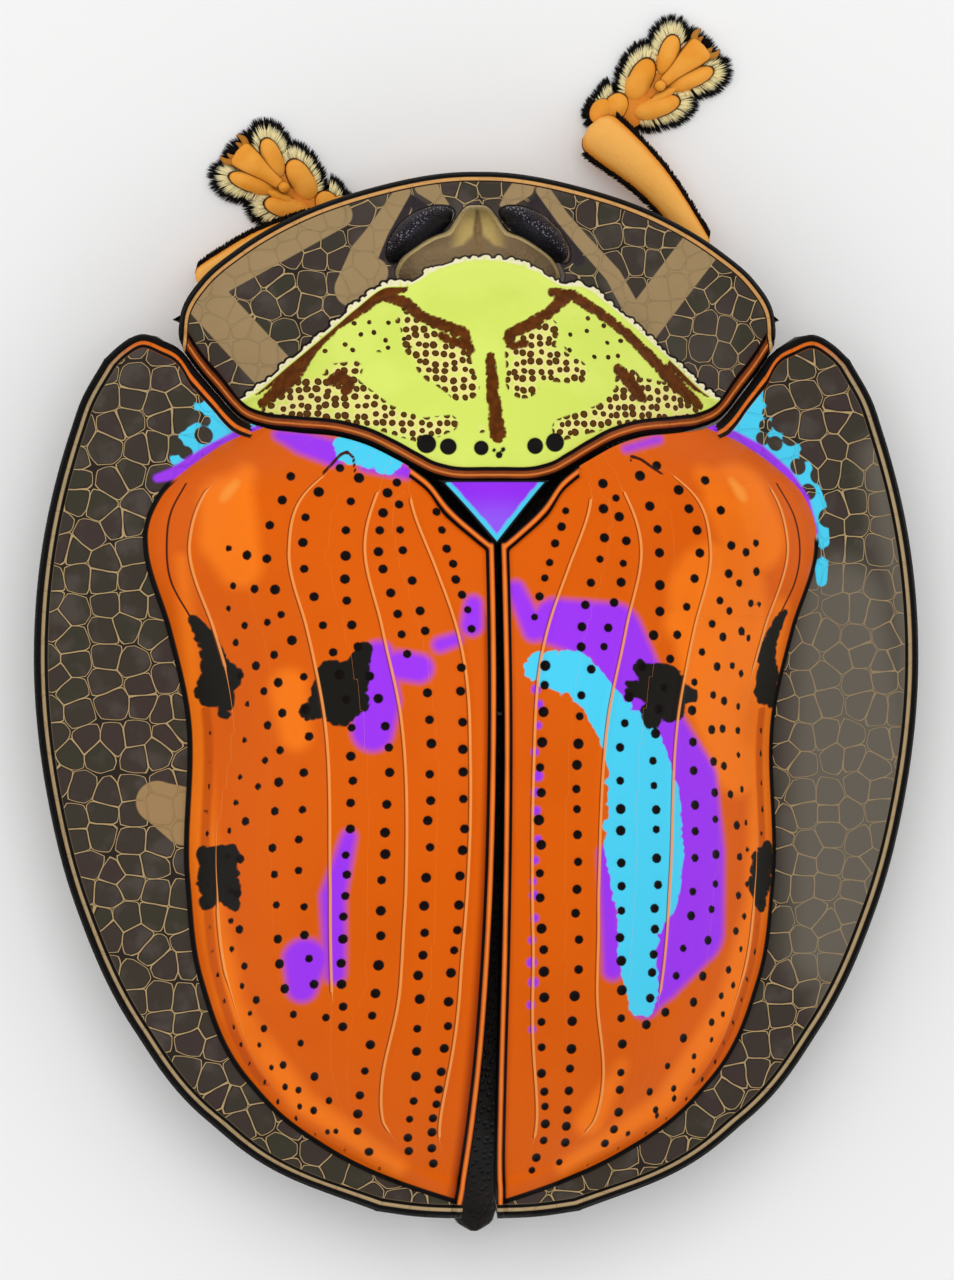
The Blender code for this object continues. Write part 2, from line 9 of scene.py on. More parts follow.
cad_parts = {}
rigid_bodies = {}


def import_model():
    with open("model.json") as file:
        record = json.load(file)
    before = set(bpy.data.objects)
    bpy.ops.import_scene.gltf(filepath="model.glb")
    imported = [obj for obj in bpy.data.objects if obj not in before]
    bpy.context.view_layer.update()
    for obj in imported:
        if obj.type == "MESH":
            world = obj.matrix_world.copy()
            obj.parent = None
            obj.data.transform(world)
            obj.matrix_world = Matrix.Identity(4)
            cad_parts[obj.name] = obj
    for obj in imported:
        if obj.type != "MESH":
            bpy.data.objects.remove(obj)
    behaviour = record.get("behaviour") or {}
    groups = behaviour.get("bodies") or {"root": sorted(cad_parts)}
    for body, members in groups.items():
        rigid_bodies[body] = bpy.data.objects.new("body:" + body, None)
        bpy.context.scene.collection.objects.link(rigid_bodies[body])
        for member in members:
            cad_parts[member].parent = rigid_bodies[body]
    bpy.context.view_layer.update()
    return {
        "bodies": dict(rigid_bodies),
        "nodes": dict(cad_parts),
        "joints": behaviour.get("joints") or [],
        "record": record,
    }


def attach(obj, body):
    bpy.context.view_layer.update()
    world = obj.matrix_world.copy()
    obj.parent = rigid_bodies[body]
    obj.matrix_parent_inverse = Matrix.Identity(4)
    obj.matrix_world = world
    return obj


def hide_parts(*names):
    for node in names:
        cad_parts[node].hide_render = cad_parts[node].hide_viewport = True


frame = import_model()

# Tortoise beetle on a pale floor, seen from above. Lengths below are in millimetres.
mm = 0.001
print("frame:", len(frame["nodes"]), "solids")


# Shader sockets as sums, and materials built node by node.
class Wire:
    def __init__(self, finish, socket):
        self.finish = finish
        self.socket = socket

    def maths(self, operation, first, second=0.0):
        return self.finish.node("ShaderNodeMath", {"operation": operation}, {0: first, 1: second})

    def __add__(self, other):
        return self.maths("ADD", self, other)

    def __sub__(self, other):
        return self.maths("SUBTRACT", self, other)

    def __rsub__(self, other):
        return self.maths("SUBTRACT", other, self)

    def __mul__(self, other):
        return self.maths("MULTIPLY", self, other)

    def __abs__(self):
        return self.maths("ABSOLUTE", self)

    __radd__ = __add__
    __rmul__ = __mul__

    def most(self, other):
        return self.maths("MAXIMUM", self, other)

    def over(self, edge, soft):  # 0 below the edge, 1 above it
        inputs = {0: self, 1: edge - soft, 2: edge + soft}
        return self.finish.node("ShaderNodeMapRange", {"interpolation_type": "SMOOTHSTEP"}, inputs)

    def under(self, edge, soft):
        return 1 - self.over(edge, soft)

    def between(self, low, high, soft):
        return self.over(low, soft) * self.under(high, soft)


class Finish:
    def __init__(self, name):
        self.material = bpy.data.materials.new(name)
        self.material.use_nodes = True
        self.tree = self.material.node_tree
        self.shader = self.tree.nodes["Principled BSDF"]
        self.spot = self.node("ShaderNodeTexCoord", output=3)

    def feed(self, socket, value):
        if isinstance(value, Wire):
            self.tree.links.new(value.socket, socket)
        elif socket.type == "RGBA":
            socket.default_value = (*value, 1.0)
        else:
            socket.default_value = value

    def node(self, kind, settings=None, inputs=None, output=0):
        made = self.tree.nodes.new(kind)
        for key, value in (settings or {}).items():
            setattr(made, key, value)
        for key, value in (inputs or {}).items():
            self.feed(made.inputs[key], value)
        return Wire(self, made.outputs[output])

    def field(self, name):
        return self.node("ShaderNodeAttribute", {"attribute_name": name}, output=2)

    def mix(self, low, high, mask):
        return self.node("ShaderNodeMix", {"data_type": "RGBA"}, {0: mask, 6: low, 7: high}, 2)

    def noise(self, size, detail=3.0):  # size of its largest blots, in millimetres
        inputs = {"Vector": self.spot, "Scale": 1 / (size * mm), "Detail": detail}
        return self.node("ShaderNodeTexNoise", None, inputs)

    def cells(self, size, feature, spread=0.85, output=0, spot=None):
        settings = {"voronoi_dimensions": "2D", "feature": feature}
        inputs = {"Vector": spot or self.spot, "Scale": 1 / (size * mm), "Randomness": spread}
        return self.node("ShaderNodeTexVoronoi", settings, inputs, output)

    def shift(self, amount, size):  # the place, pushed about by a noise
        inputs = {"Vector": self.spot, "Scale": 1 / (size * mm)}
        push = self.node("ShaderNodeTexNoise", None, inputs, 1)
        push = self.node("ShaderNodeVectorMath", {"operation": "SUBTRACT"}, {0: push, 1: (0.5,) * 3})
        push = self.node("ShaderNodeVectorMath", {"operation": "SCALE"}, {0: push, 3: amount * mm})
        return self.node("ShaderNodeVectorMath", {"operation": "ADD"}, {0: self.spot, 1: push})

    def bump(self, height, depth):  # depth of the relief in millimetres
        inputs = {"Height": height, "Distance": depth * mm, "Strength": 1.0}
        self.feed(self.shader.inputs["Normal"], self.node("ShaderNodeBump", None, inputs))

    def wear(self, **sockets):
        for name, value in sockets.items():
            self.feed(self.shader.inputs[name.replace("_", " ")], value)
        return self.material


def paint(red, green, blue):
    return tuple((c / 255 / 12.92 if c < 10 else ((c / 255 + 0.055) / 1.055) ** 2.4)
                 for c in (red, green, blue))


# Plan and height curves. They follow the solids, but frontEdge lies where the drawing has the joint.
def curve(*points):
    places = np.array([p[0] for p in points], float)
    values = np.array([p[1] for p in points], float)
    slopes = np.gradient(values, places)

    def at(place):
        place = np.clip(place, places[0], places[-1])
        i = np.clip(np.searchsorted(places, place) - 1, 0, len(places) - 2)
        span = places[i + 1] - places[i]
        t = (place - places[i]) / span
        near = (2 * t**3 - 3 * t**2 + 1) * values[i] + (t**3 - 2 * t**2 + t) * span * slopes[i]
        far = (3 * t**2 - 2 * t**3) * values[i + 1] + (t**3 - t**2) * span * slopes[i + 1]
        return near + far

    return at


outerWidth = curve((-3.76, 5.34), (-3.19, 5.66), (-2.76, 5.81), (-1.47, 6.15), (0.4, 6.336),
                   (2.39, 6.16), (4.1, 5.72), (5.81, 4.91), (7.1, 3.87), (7.96, 2.61), (8.39, 1.46))
discWidth = curve((-3.6, 2.9), (-3.1, 3.25), (-2.76, 3.55), (-2.04, 4.4), (-1.15, 4.77),
                  (0.1, 4.45), (1.17, 4.2), (3.67, 4.18), (5.1, 3.98), (6.53, 3.3),
                  (7.24, 2.56), (7.96, 1.21), (8.45, 0.72))
frontEdge = curve((0.1, -1.14), (0.28, -1.29), (0.67, -1.66), (0.91, -1.98), (1.1, -2.14), (1.43, -2.34),
                  (1.76, -2.51), (2.09, -2.62), (2.74, -2.7), (3.11, -2.76), (3.44, -2.91), (3.79, -3.31),
                  (4.07, -3.66), (4.2, -3.84), (4.5, -4.03), (4.82, -4.12), (5.1, -3.98), (5.34, -3.76))
rearEdge = curve((0.1, 8.5), (0.9, 8.47), (1.5, 8.39))
crestHeight = curve((-2.9, 4.65), (-2.0, 5.3), (-1.2, 5.7), (0.0, 6.12), (1.1, 6.3), (2.2, 6.24),
                    (3.5, 5.92), (4.8, 5.32), (6.0, 4.48), (7.0, 3.55), (7.8, 2.68), (8.5, 2.1))
footHeight = curve((-4.0, 2.0), (-3.1, 2.42), (-2.3, 2.62), (-1.0, 2.5), (0.6, 2.38),
                   (4.0, 2.28), (6.5, 2.1), (8.5, 1.98))
rimHeight = curve((-4.1, 1.72), (-2.5, 1.62), (1.0, 1.56), (5.0, 1.6), (8.5, 1.78))
domeShape = {"power": 2.3, "round": 0.82, "bend": 1.25}


def dome(x, y):
    edge = discWidth(y)
    foot = footHeight(y)
    share = np.clip(x / edge, 0.0, 1.0)
    disc = foot + (crestHeight(y) - foot) * (1 - share ** domeShape["power"]) ** domeShape["round"]
    out = np.clip((x - edge) / np.maximum(outerWidth(y) - edge, 0.05), 0.0, 1.0)
    margin = rimHeight(y) + (foot - rimHeight(y)) * (1 - out) ** domeShape["bend"]
    return np.where(x < edge, disc, margin)


# Marks in plan: how far a place lies inside a mark, in millimetres.
def chain(x, y, *beads):  # a smooth band through round beads (x, y, radius)
    inside = np.full(np.shape(x), -9.0)
    for (ax, ay, ar), (bx, by, br) in zip(beads, beads[1:] if len(beads) > 1 else beads):
        length = max((bx - ax) ** 2 + (by - ay) ** 2, 1e-9)
        t = np.clip(((x - ax) * (bx - ax) + (y - ay) * (by - ay)) / length, 0.0, 1.0)
        away = np.hypot(x - ax - (bx - ax) * t, y - ay - (by - ay) * t)
        inside = np.maximum(inside, ar + (br - ar) * t - away)
    return inside


def scalloped(x, y, size, seed, *beads):  # a band with a ragged edge of small round lobes
    draw = np.random.default_rng(seed)
    inside = chain(x, y, *beads)
    reach = max(b[2] for b in beads) + size
    lowX, highX = min(b[0] for b in beads) - reach, max(b[0] for b in beads) + reach
    lowY, highY = min(b[1] for b in beads) - reach, max(b[1] for b in beads) + reach
    count = int(26 * (highX - lowX) * (highY - lowY) / size**2 / 10) + 8
    spotX = draw.uniform(lowX, highX, count)
    spotY = draw.uniform(lowY, highY, count)
    edge = chain(spotX, spotY, *beads)
    for cx, cy, d in zip(spotX, spotY, edge):
        radius = size * draw.uniform(0.5, 1.1)
        if -0.7 * size < d < 0.3 * size:
            inside = np.maximum(inside, radius - np.hypot(x - cx, y - cy))
    return inside


def steepness(line, at):  # turns a distance along an axis into a distance from a sloping line
    return np.sqrt(1 + ((line(at + 0.02) - line(at - 0.02)) / 0.04) ** 2)


def piece(name, points, faces, material, node=None, fields=None):
    mesh = bpy.data.meshes.new(name)
    mesh.from_pydata((np.asarray(points, float) * mm).tolist(), [], faces)
    form = bmesh.new()
    form.from_mesh(mesh)
    bmesh.ops.recalc_face_normals(form, faces=form.faces)
    form.to_mesh(mesh)
    form.free()
    for key, values in (fields or {}).items():
        mesh.attributes.new(key, "FLOAT", "POINT").data.foreach_set("value", np.asarray(values, np.float32))
    mesh.shade_smooth()
    mesh.materials.append(material)
    made = bpy.data.objects.new(name, mesh)
    bpy.context.scene.collection.objects.link(made)
    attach(made, "root")
    if node:
        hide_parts(node)
    return made


def shellFaces(columns, rows, step):
    # Quads of a fine top sheet, a coarse sheet under it, and the walls between their edges.
    faces = []
    for i in range(columns - 1):
        for j in range(rows - 1):
            a = i * rows + j
            faces.append((a, a + rows, a + rows + 1, a + 1))
    base = columns * rows
    lowColumns = (columns - 1) // step + 1
    lowRows = (rows - 1) // step + 1
    for i in range(lowColumns - 1):
        for j in range(lowRows - 1):
            a = base + i * lowRows + j
            faces.append((a, a + 1, a + lowRows + 1, a + lowRows))
    for i in range(lowColumns - 1):
        for j, lowJ in ((0, 0), (rows - 1, lowRows - 1)):
            top = [(i * step + k) * rows + j for k in range(step + 1)]
            faces.append(top + [base + (i + 1) * lowRows + lowJ, base + i * lowRows + lowJ])
    for j in range(lowRows - 1):
        for i, lowI in ((0, 0), (columns - 1, lowColumns - 1)):
            top = [i * rows + j * step + k for k in range(step + 1)]
            faces.append(top + [base + lowI * lowRows + j + 1, base + lowI * lowRows + j])
    return faces


def shellPoints(top, smooth, thickness, step):
    along = np.gradient(smooth, axis=0)
    across = np.gradient(smooth, axis=1)
    normal = np.cross(along, across)
    normal /= np.maximum(np.linalg.norm(normal, axis=2, keepdims=True), 1e-9)
    normal = np.where(normal[:, :, 2:] < 0, -normal, normal)
    under = (smooth - thickness * normal)[::step, ::step]
    return np.concatenate([top.reshape(-1, 3), under.reshape(-1, 3)])


def honeycomb(finish, size, greyTintAndSheen):
    # Dark round cells with thin tan walls, and a small dark corner left where three of them meet.
    spot = finish.shift(0.12, 0.7)
    near = finish.cells(size, "F1", 0.7, 0, spot)
    gap = finish.cells(size, "F2", 0.7, 0, spot) - near - 0.9 * (near - 0.57).most(0.0)
    tint = finish.node("ShaderNodeSeparateColor", None, {0: finish.cells(size, "F1", 0.7, 1, spot)})
    dark = finish.mix(paint(66, 54, 51), paint(60, 58, 46), tint)
    dark = finish.mix(dark, paint(78, 70, 64), finish.noise(0.5).over(0.6, 0.1))
    dark = finish.mix(dark, paint(44, 38, 34), gap.under(0.11, 0.04))
    # The grey mask pales the cells and thins their walls: painted sheen on the elytra, a random tint on the
    # pronotum.
    dark = finish.mix(dark, paint(104, 98, 88), greyTintAndSheen)
    walls = gap.between(-0.045, 0.05, 0.012) * (1 - 0.5 * greyTintAndSheen)
    return finish.mix(dark, paint(182, 156, 112), walls), walls


def elytronFinish(name):
    finish = Finish(name)
    edge = finish.field("edge")
    cloud = finish.noise(1.8, 3.0)
    # Painted light: lighter orange on the shoulders and along the outer band.
    colour = finish.mix(paint(228, 98, 4), paint(255, 126, 20), finish.field("paintedLight").over(0.0, 0.13))
    colour = finish.mix(colour, paint(214, 88, 2), cloud.over(0.62, 0.16) * 0.4)
    # A painted highlight spot on each shoulder.
    colour = finish.mix(colour, paint(255, 154, 58), finish.field("paintedHighlight").over(0.0, 0.05) * 0.9)
    # Painted shade: a dark orange band along the lateral groove of the disc.
    colour = finish.mix(colour, paint(196, 76, 2), finish.field("slotShade").over(0.0, 0.03) * 0.75)
    colour = finish.mix(colour, paint(158, 54, 0), finish.field("shade").over(0.0, 0.07) * 0.85)
    colour = finish.mix(colour, paint(163, 56, 250), finish.field("purple").over(0.0, 0.08))
    colour = finish.mix(colour, paint(78, 216, 252), finish.field("cyan").over(0.0, 0.014))
    colour = finish.mix(colour, paint(26, 24, 20), finish.field("patch").over(0.0, 0.012))
    costa = finish.field("costa")
    # Along each costa: a painted highlight on the ridge and a painted shade line beside it.
    colour = finish.mix(colour, paint(110, 40, 2), costa.between(0.014, 0.034, 0.008) * 0.8)
    colour = finish.mix(colour, paint(255, 160, 82), costa.between(-0.02, 0.016, 0.008) * 0.9)
    thorn = finish.field("thorn").over(0.0, 0.008)
    colour = finish.mix(colour, paint(70, 20, 2), abs(finish.field("groove")).under(0.014, 0.007).most(thorn))
    colour = finish.mix(colour, paint(16, 8, 6), finish.field("pit").over(0.0, 0.01))
    net, walls = honeycomb(finish, 0.37, finish.field("greyTintAndSheen").over(0.0, 0.35))
    net = finish.mix(net, paint(78, 216, 252), finish.field("marginCyan").over(0.0, 0.012))
    net = finish.mix(net, paint(163, 60, 245), finish.field("marginPurple").over(0.0, 0.03))
    net = finish.mix(net, paint(164, 134, 92), finish.field("show").over(0.0, 0.012))
    colour = finish.mix(net, colour, edge.over(0.0, 0.01))
    outline = abs(edge).under(0.036, 0.01) * finish.field("outline").over(0.0, 0.05)
    colour = finish.mix(colour, paint(14, 10, 8), outline)
    bead = finish.field("bead")
    rolled = finish.mix(paint(226, 104, 26), paint(196, 84, 22), finish.noise(0.6).over(0.5, 0.2))
    rolled = finish.mix(rolled, paint(250, 138, 52), bead.between(0.04, 0.07, 0.014))
    colour = finish.mix(colour, rolled, bead.under(0.13, 0.01))
    colour = finish.mix(colour, paint(10, 8, 8),
                        bead.between(0.088, 0.135, 0.008).most(bead.under(0.022, 0.008)))
    rim = finish.field("rim")
    line = finish.mix(paint(182, 160, 120), paint(238, 118, 34), finish.field("warm").over(0.15, 0.3))
    colour = finish.mix(colour, line, rim.under(0.2, 0.01))
    colour = finish.mix(colour, paint(12, 10, 9), rim.between(0.148, 0.2, 0.008).most(rim.under(0.1, 0.01)))
    finish.bump(finish.noise(0.07, 2.0) * 0.3 + walls * (1 - edge.over(0.0, 0.01)), 0.01)
    rough = 0.36 + 0.18 * finish.noise(0.4)
    return finish.wear(Base_Color=colour, Roughness=rough, Specular_IOR_Level=0.06)


elytronPlan = {
    "discColumns": 97, "marginColumns": 44, "rows": 281, "underStep": 4, "thickness": 0.32,
    "costaHeight": 0.05, "costaWidth": 0.045, "beadHeight": 0.05,
    "rimHeight": 0.06, "pitDepth": 0.05, "callus": (3.6, -1.9, 0.85, 0.34), "lean": 0.022,
}
sutureGap = curve((-3.0, 0.03), (1.0, 0.04), (4.5, 0.07), (6.5, 0.12), (7.6, 0.18), (8.5, 0.26))
discLine = curve((-2.95, 2.8), (-2.78, 3.15), (-2.6, 3.6), (-2.4, 3.93), (-2.17, 4.24), (-1.94, 4.5),
                 (-1.66, 4.68),
                 (-1.3, 4.79), (-1.1, 4.79), (0.1, 4.45), (1.17, 4.2), (3.67, 4.18), (5.1, 3.98), (6.53, 3.3),
                 (7.24, 2.56), (7.96, 1.21), (8.3, 0.2))
costae = (
    (curve((-2.4, 0.29), (-1.9, 0.28), (-0.8, 0.194), (0.4, 0.122), (2.0, 0.098), (4.5, 0.105),
           (6.2, 0.14), (7.6, 0.25)), curve((-1.85, 0.0), (-1.5, 1.0), (6.6, 1.0), (7.6, 0.0))),
    (curve((-2.8, 0.36), (-2.0, 0.375), (-1.3, 0.403), (0.1, 0.382), (1.4, 0.343), (4.2, 0.322),
           (5.4, 0.35), (7.1, 0.52)), curve((-1.95, 0.0), (-1.6, 1.0), (6.6, 1.0), (7.5, 0.0))),
    (curve((-3.0, 0.5), (-2.4, 0.52), (-1.8, 0.605), (-1.0, 0.624), (0.5, 0.608), (3.9, 0.572),
           (5.4, 0.59), (7.1, 0.7)), curve((-2.15, 0.0), (-1.9, 1.0), (4.6, 1.0), (5.5, 0.0))),
    (curve((-3.0, 0.86), (-1.85, 0.89), (-0.5, 0.888), (1.0, 0.87), (3.0, 0.915), (5.0, 0.92),
           (7.0, 0.92)), curve((-2.1, 0.0), (-1.5, 0.8), (-0.3, 0.8), (0.5, 0.35), (5.0, 0.3), (7.0, 0.0))),
)
# Rows of pits: share of the disc along the body, first and last place, spacing, radius, narrowness.
pitRows = (
    (curve((-1.7, 0.2), (-0.7, 0.13), (0.1, 0.085)), -1.65, 0.1, 0.27, 0.06, 1.0),
    (curve((0.6, 0.128), (4.0, 0.128), (5.0, 0.15), (6.5, 0.19), (7.3, 0.28), (7.8, 0.38)), 0.55, 7.85, 0.35,
     0.07, 1.0),
    (curve((-1.9, 0.345), (-1.0, 0.36), (-0.2, 0.335), (0.5, 0.3), (0.9, 0.25)), -1.85, 0.7, 0.29, 0.064,
     1.0),
    (curve((-2.1, 0.325), (-1.3, 0.3), (-0.6, 0.265), (0.2, 0.24), (0.8, 0.24)), -2.05, 0.5, 0.36, 0.064,
     1.0),
    (curve((1.0, 0.246), (4.0, 0.246), (5.0, 0.265), (6.5, 0.307), (7.3, 0.42), (7.75, 0.6)), 0.95, 7.7, 0.36,
     0.07, 1.0),
    (curve((-2.1, 0.45), (-1.2, 0.46), (0.2, 0.475), (1.0, 0.42), (4.0, 0.4), (5.0, 0.42), (6.5, 0.54),
           (7.1, 0.66), (7.6, 0.8)), -2.1, 7.6, 0.38, 0.07, 1.0),
    (curve((-2.3, 0.52), (-1.9, 0.56), (-1.2, 0.585), (-0.4, 0.575), (0.2, 0.555), (1.0, 0.526),
           (4.0, 0.526), (5.8, 0.56)), -2.25, 5.9, 0.33, 0.066, 1.0),
    (curve((-2.6, 0.7), (-2.2, 0.67), (-1.0, 0.69), (-0.1, 0.675), (0.6, 0.65), (2.5, 0.665), (4.0, 0.66),
           (5.0, 0.64), (5.7, 0.62)), -2.1, 5.8, 0.42, 0.066, 0.95),
    (curve((-1.0, 0.74), (0.1, 0.724), (2.5, 0.744), (5.0, 0.74), (6.8, 0.72)), -1.05, 6.9, 0.44, 0.066,
     0.85),
    (curve((-1.2, 0.78), (-0.4, 0.794), (2.0, 0.785), (2.6, 0.82), (7.3, 0.82)), -1.15, 7.35, 0.46, 0.062,
     0.8),
    (curve((-0.3, 0.827), (1.3, 0.834), (2.6, 0.87), (7.2, 0.87)), -0.3, 7.25, 0.42, 0.055, 0.7),
    (curve((1.4, 0.945), (8.0, 0.945)), 1.5, 7.9, 0.34, 0.05, 0.5),
)
blackPatches = {
    1: (((2.1, 0.82, 0.23), (2.13, 1.05, 0.24), (2.2, 1.2, 0.2)), ((2.3, 0.78, 0.2), (2.32, 1.05, 0.24)),
        ((2.5, 1.18, 0.12), (2.64, 1.26, 0.07)), ((1.98, 0.64, 0.12), (1.88, 0.39, 0.055)),
        ((1.94, 1.12, 0.09),),
        ((3.8, 0.78, 0.19), (3.85, 0.93, 0.22)), ((3.86, 0.6, 0.13), (3.95, 0.3, 0.09), (4.16, -0.05, 0.02)),
        ((3.74, 1.05, 0.1), (3.73, 1.28, 0.03)), ((3.6, 0.68, 0.05), (3.66, 0.8, 0.1)),
        ((3.79, 3.4, 0.2), (3.79, 3.72, 0.22)), ((3.62, 3.26, 0.06),),
        ((3.65, 3.88, 0.08), (3.62, 4.0, 0.05)),
        ((3.92, 3.9, 0.07), (3.95, 3.98, 0.05)), ((3.96, 3.3, 0.07),)),
    -1: (((-2.3, 0.86, 0.25), (-2.4, 1.05, 0.27)), ((-2.2, 1.25, 0.13), (-2.2, 1.41, 0.07)),
         ((-2.1, 0.95, 0.1), (-1.9, 0.92, 0.06)), ((-2.12, 0.72, 0.1), (-2.03, 0.63, 0.055)),
         ((-2.6, 1.0, 0.12), (-2.78, 1.03, 0.06)), ((-2.52, 1.22, 0.14), (-2.5, 0.8, 0.13)),
         ((-4.03, 0.5, 0.1), (-4.05, 0.75, 0.15), (-4.02, 0.93, 0.15)),
         ((-4.03, 0.4, 0.08), (-4.1, 0.15, 0.05), (-4.27, -0.13, 0.015)),
         ((-3.97, 0.5, 0.06), (-3.95, 0.3, 0.02)),
         ((-4.13, 1.0, 0.07), (-4.13, 1.14, 0.04)), ((-3.98, 1.0, 0.06), (-3.97, 1.1, 0.035)),
         ((-3.98, 3.36, 0.13), (-3.95, 3.74, 0.15)), ((-4.05, 3.2, 0.05),),
         ((-3.95, 3.92, 0.07), (-3.99, 4.04, 0.03))),
}
purpleBands = {
    1: (((1.69, 0.46, 0.2), (1.72, 1.1, 0.32), (1.77, 1.53, 0.28)), ((1.4, 0.6, 0.2), (1.14, 0.64, 0.2)),
        ((0.84, 0.31, 0.1), (0.63, 0.24, 0.09)), ((0.39, 0.03, 0.15), (0.36, -0.26, 0.12)),
        ((2.08, 3.02, 0.1), (2.28, 3.86, 0.17), (2.22, 4.96, 0.14)), ((2.63, 4.77, 0.3), (2.66, 5.17, 0.2)),
        ((2.95, -2.66, 0.08), (2.66, -2.55, 0.16), (2.24, -2.4, 0.18)),
        ((1.8, -2.24, 0.1), (1.27, -2.14, 0.1))),
    -1: (((-0.24, -0.47, 0.12), (-0.49, 0.1, 0.16)),
         ((-0.8, -0.01, 0.33), (-1.61, 0.17, 0.45), (-2.2, 1.39, 0.42), (-2.79, 2.24, 0.42),
          (-2.82, 3.24, 0.52),
          (-2.86, 4.39, 0.5), (-2.4, 5.03, 0.35), (-2.2, 5.4, 0.2)),
         ((-1.52, 3.24, 0.1), (-1.7, 4.9, 0.15)), ((-2.4, -2.6, 0.05), (-1.9, -2.46, 0.04))),
}
cyanBands = {
    1: (((2.03, -2.46, 0.14), (1.5, -2.3, 0.14)),),
    -1: (((-0.59, 0.64, 0.18), (-1.04, 0.7, 0.25), (-1.42, 1.21, 0.3), (-1.81, 1.81, 0.5),
          (-2.04, 2.53, 0.53),
          (-2.12, 3.24, 0.52), (-2.15, 3.81, 0.44), (-2.09, 4.24, 0.28), (-2.03, 4.6, 0.22),
          (-2.14, 5.17, 0.18),
          (-2.17, 5.39, 0.14)),),
}
orangeIsland = ((-0.95, 1.2, 0.12), (-1.15, 1.75, 0.22), (-1.3, 2.2, 0.2), (-1.35, 2.7, 0.12))
# Painted light: lighter orange where light falls on the shoulders and along the outer band.
paintedLightAreas = {
    1: (((3.45, -2.12, 0.12), (3.72, -1.72, 0.36), (3.7, -1.2, 0.4), (3.55, -0.8, 0.3)),
        ((4.33, -0.9, 0.06), (4.15, 0.6, 0.12), (4.05, 2.4, 0.16), (3.98, 3.6, 0.18), (3.6, 5.4, 0.16),
         (2.6, 6.8, 0.16), (1.2, 7.75, 0.12)), ((2.9, 0.9, 0.25), (2.8, 1.6, 0.2))),
    -1: (((-3.0, -2.1, 0.12), (-3.5, -1.75, 0.5), (-3.75, -1.2, 0.5)), ((-2.7, 0.0, 0.3), (-3.2, -0.4, 0.75),
         (-3.4, 0.9, 0.75), (-3.6, 2.0, 0.45)), ((-4.2, -0.2, 0.15), (-3.95, 2.4, 0.2), (-3.9, 4.0, 0.2),
         (-3.5, 5.4, 0.2), (-2.6, 6.8, 0.16), (-1.2, 7.75, 0.12)), ((-1.9, 6.3, 0.1), (-1.5, 7.1, 0.2))),
}
# Painted highlights: a small bright spot on each shoulder.
highlightSpots = {1: ((3.6, -1.98, 0.05), (3.72, -1.84, 0.07), (3.78, -1.76, 0.05)),
             -1: ((-3.42, -2.02, 0.04), (-3.55, -1.84, 0.08), (-3.6, -1.76, 0.05))}
# The right margin carries a painted grey sheen over a wide area and along its rim.
greySheenMarks = {"wide": ((-5.2, -0.2, 0.7), (-5.4, 2.2, 1.0), (-5.0, 4.6, 0.6)),
             "rim": ((-5.7, -2.4, 0.2), (-6.2, 0.2, 0.22), (-6.1, 2.4, 0.22), (-5.0, 5.4, 0.16))}
marginMarks = {
    1: {"cyan": (((4.02, -3.38, 0.06), (3.86, -3.1, 0.22), (3.7, -2.9, 0.26), (3.4, -2.85, 0.16)),
                 ((3.8, -2.75, 0.22), (4.1, -2.55, 0.24), (4.3, -2.35, 0.14))),
        "cell": ((4.01, -3.21, 0.085), (4.03, -2.94, 0.09), (3.93, -2.88, 0.08), (3.96, -2.67, 0.13),
                 (4.38, -2.52, 0.14), (4.22, -2.42, 0.1), (4.3, -2.85, 0.14)),
        "purple": ((4.62, -2.06, 0.06), (4.4, -2.12, 0.09), (4.14, -2.3, 0.08), (3.9, -2.45, 0.08),
                   (3.5, -2.67, 0.07),
                   (3.1, -2.78, 0.05)), "show": ((4.2, 2.75, 0.42), (4.6, 2.55, 0.3))},
    -1: {"cyan": (((-4.02, -3.36, 0.06), (-3.82, -3.05, 0.25), (-3.6, -2.9, 0.26), (-3.35, -2.85, 0.16)),
                  ((-3.9, -2.9, 0.3), (-4.2, -2.55, 0.32), (-4.5, -2.15, 0.26), (-4.75, -1.65, 0.2),
                   (-4.85, -1.2, 0.14), (-4.88, -0.6, 0.08))),
         "cell": ((-4.12, -3.0, 0.085), (-4.08, -2.81, 0.1), (-4.02, -2.63, 0.1), (-4.21, -2.56, 0.11),
                  (-4.25, -3.1, 0.12),
                  (-4.44, -2.64, 0.12), (-4.53, -2.23, 0.12), (-4.67, -1.87, 0.12), (-4.32, -2.86, 0.15),
                  (-4.66, -2.4, 0.1),
                  (-4.83, -2.1, 0.12), (-4.96, -1.5, 0.14), (-4.78, -1.0, 0.1), (-4.98, -1.0, 0.1)),
         "purple": ((-3.2, -2.8, 0.06), (-3.6, -2.66, 0.08), (-3.98, -2.46, 0.08), (-4.36, -2.13, 0.075),
                    (-4.62, -1.76, 0.07), (-4.77, -1.3, 0.05)), "show": ((-6.0, -6.0, 0.01),)},
}
grooves = {1: curve((-2.0, 4.24), (-1.6, 4.45), (-1.13, 4.52), (-0.6, 4.46), (-0.06, 4.18)),
           -1: curve((-2.0, 4.14), (-1.5, 4.42), (-1.1, 4.5), (-0.6, 4.44), (-0.1, 4.2))}
thorns = {1: ((2.4, -2.11, 0.02), (2.14, -2.38, 0.022), (2.05, -2.42, 0.022), (1.97, -2.34, 0.022),
              (1.95, -2.06, 0.016)),
          -1: ((-1.96, -2.28, 0.016), (-1.98, -2.36, 0.022), (-2.12, -2.31, 0.022), (-2.3, -2.18, 0.022),
               (-2.42, -2.1, 0.016))}


def leaning(share, side):
    return share - elytronPlan["lean"] * side * np.sin(np.pi * np.clip(share, 0.0, 1.0))


def acrossDisc(share, y):
    inner = sutureGap(y)
    return inner + share * (discWidth(y) - inner)


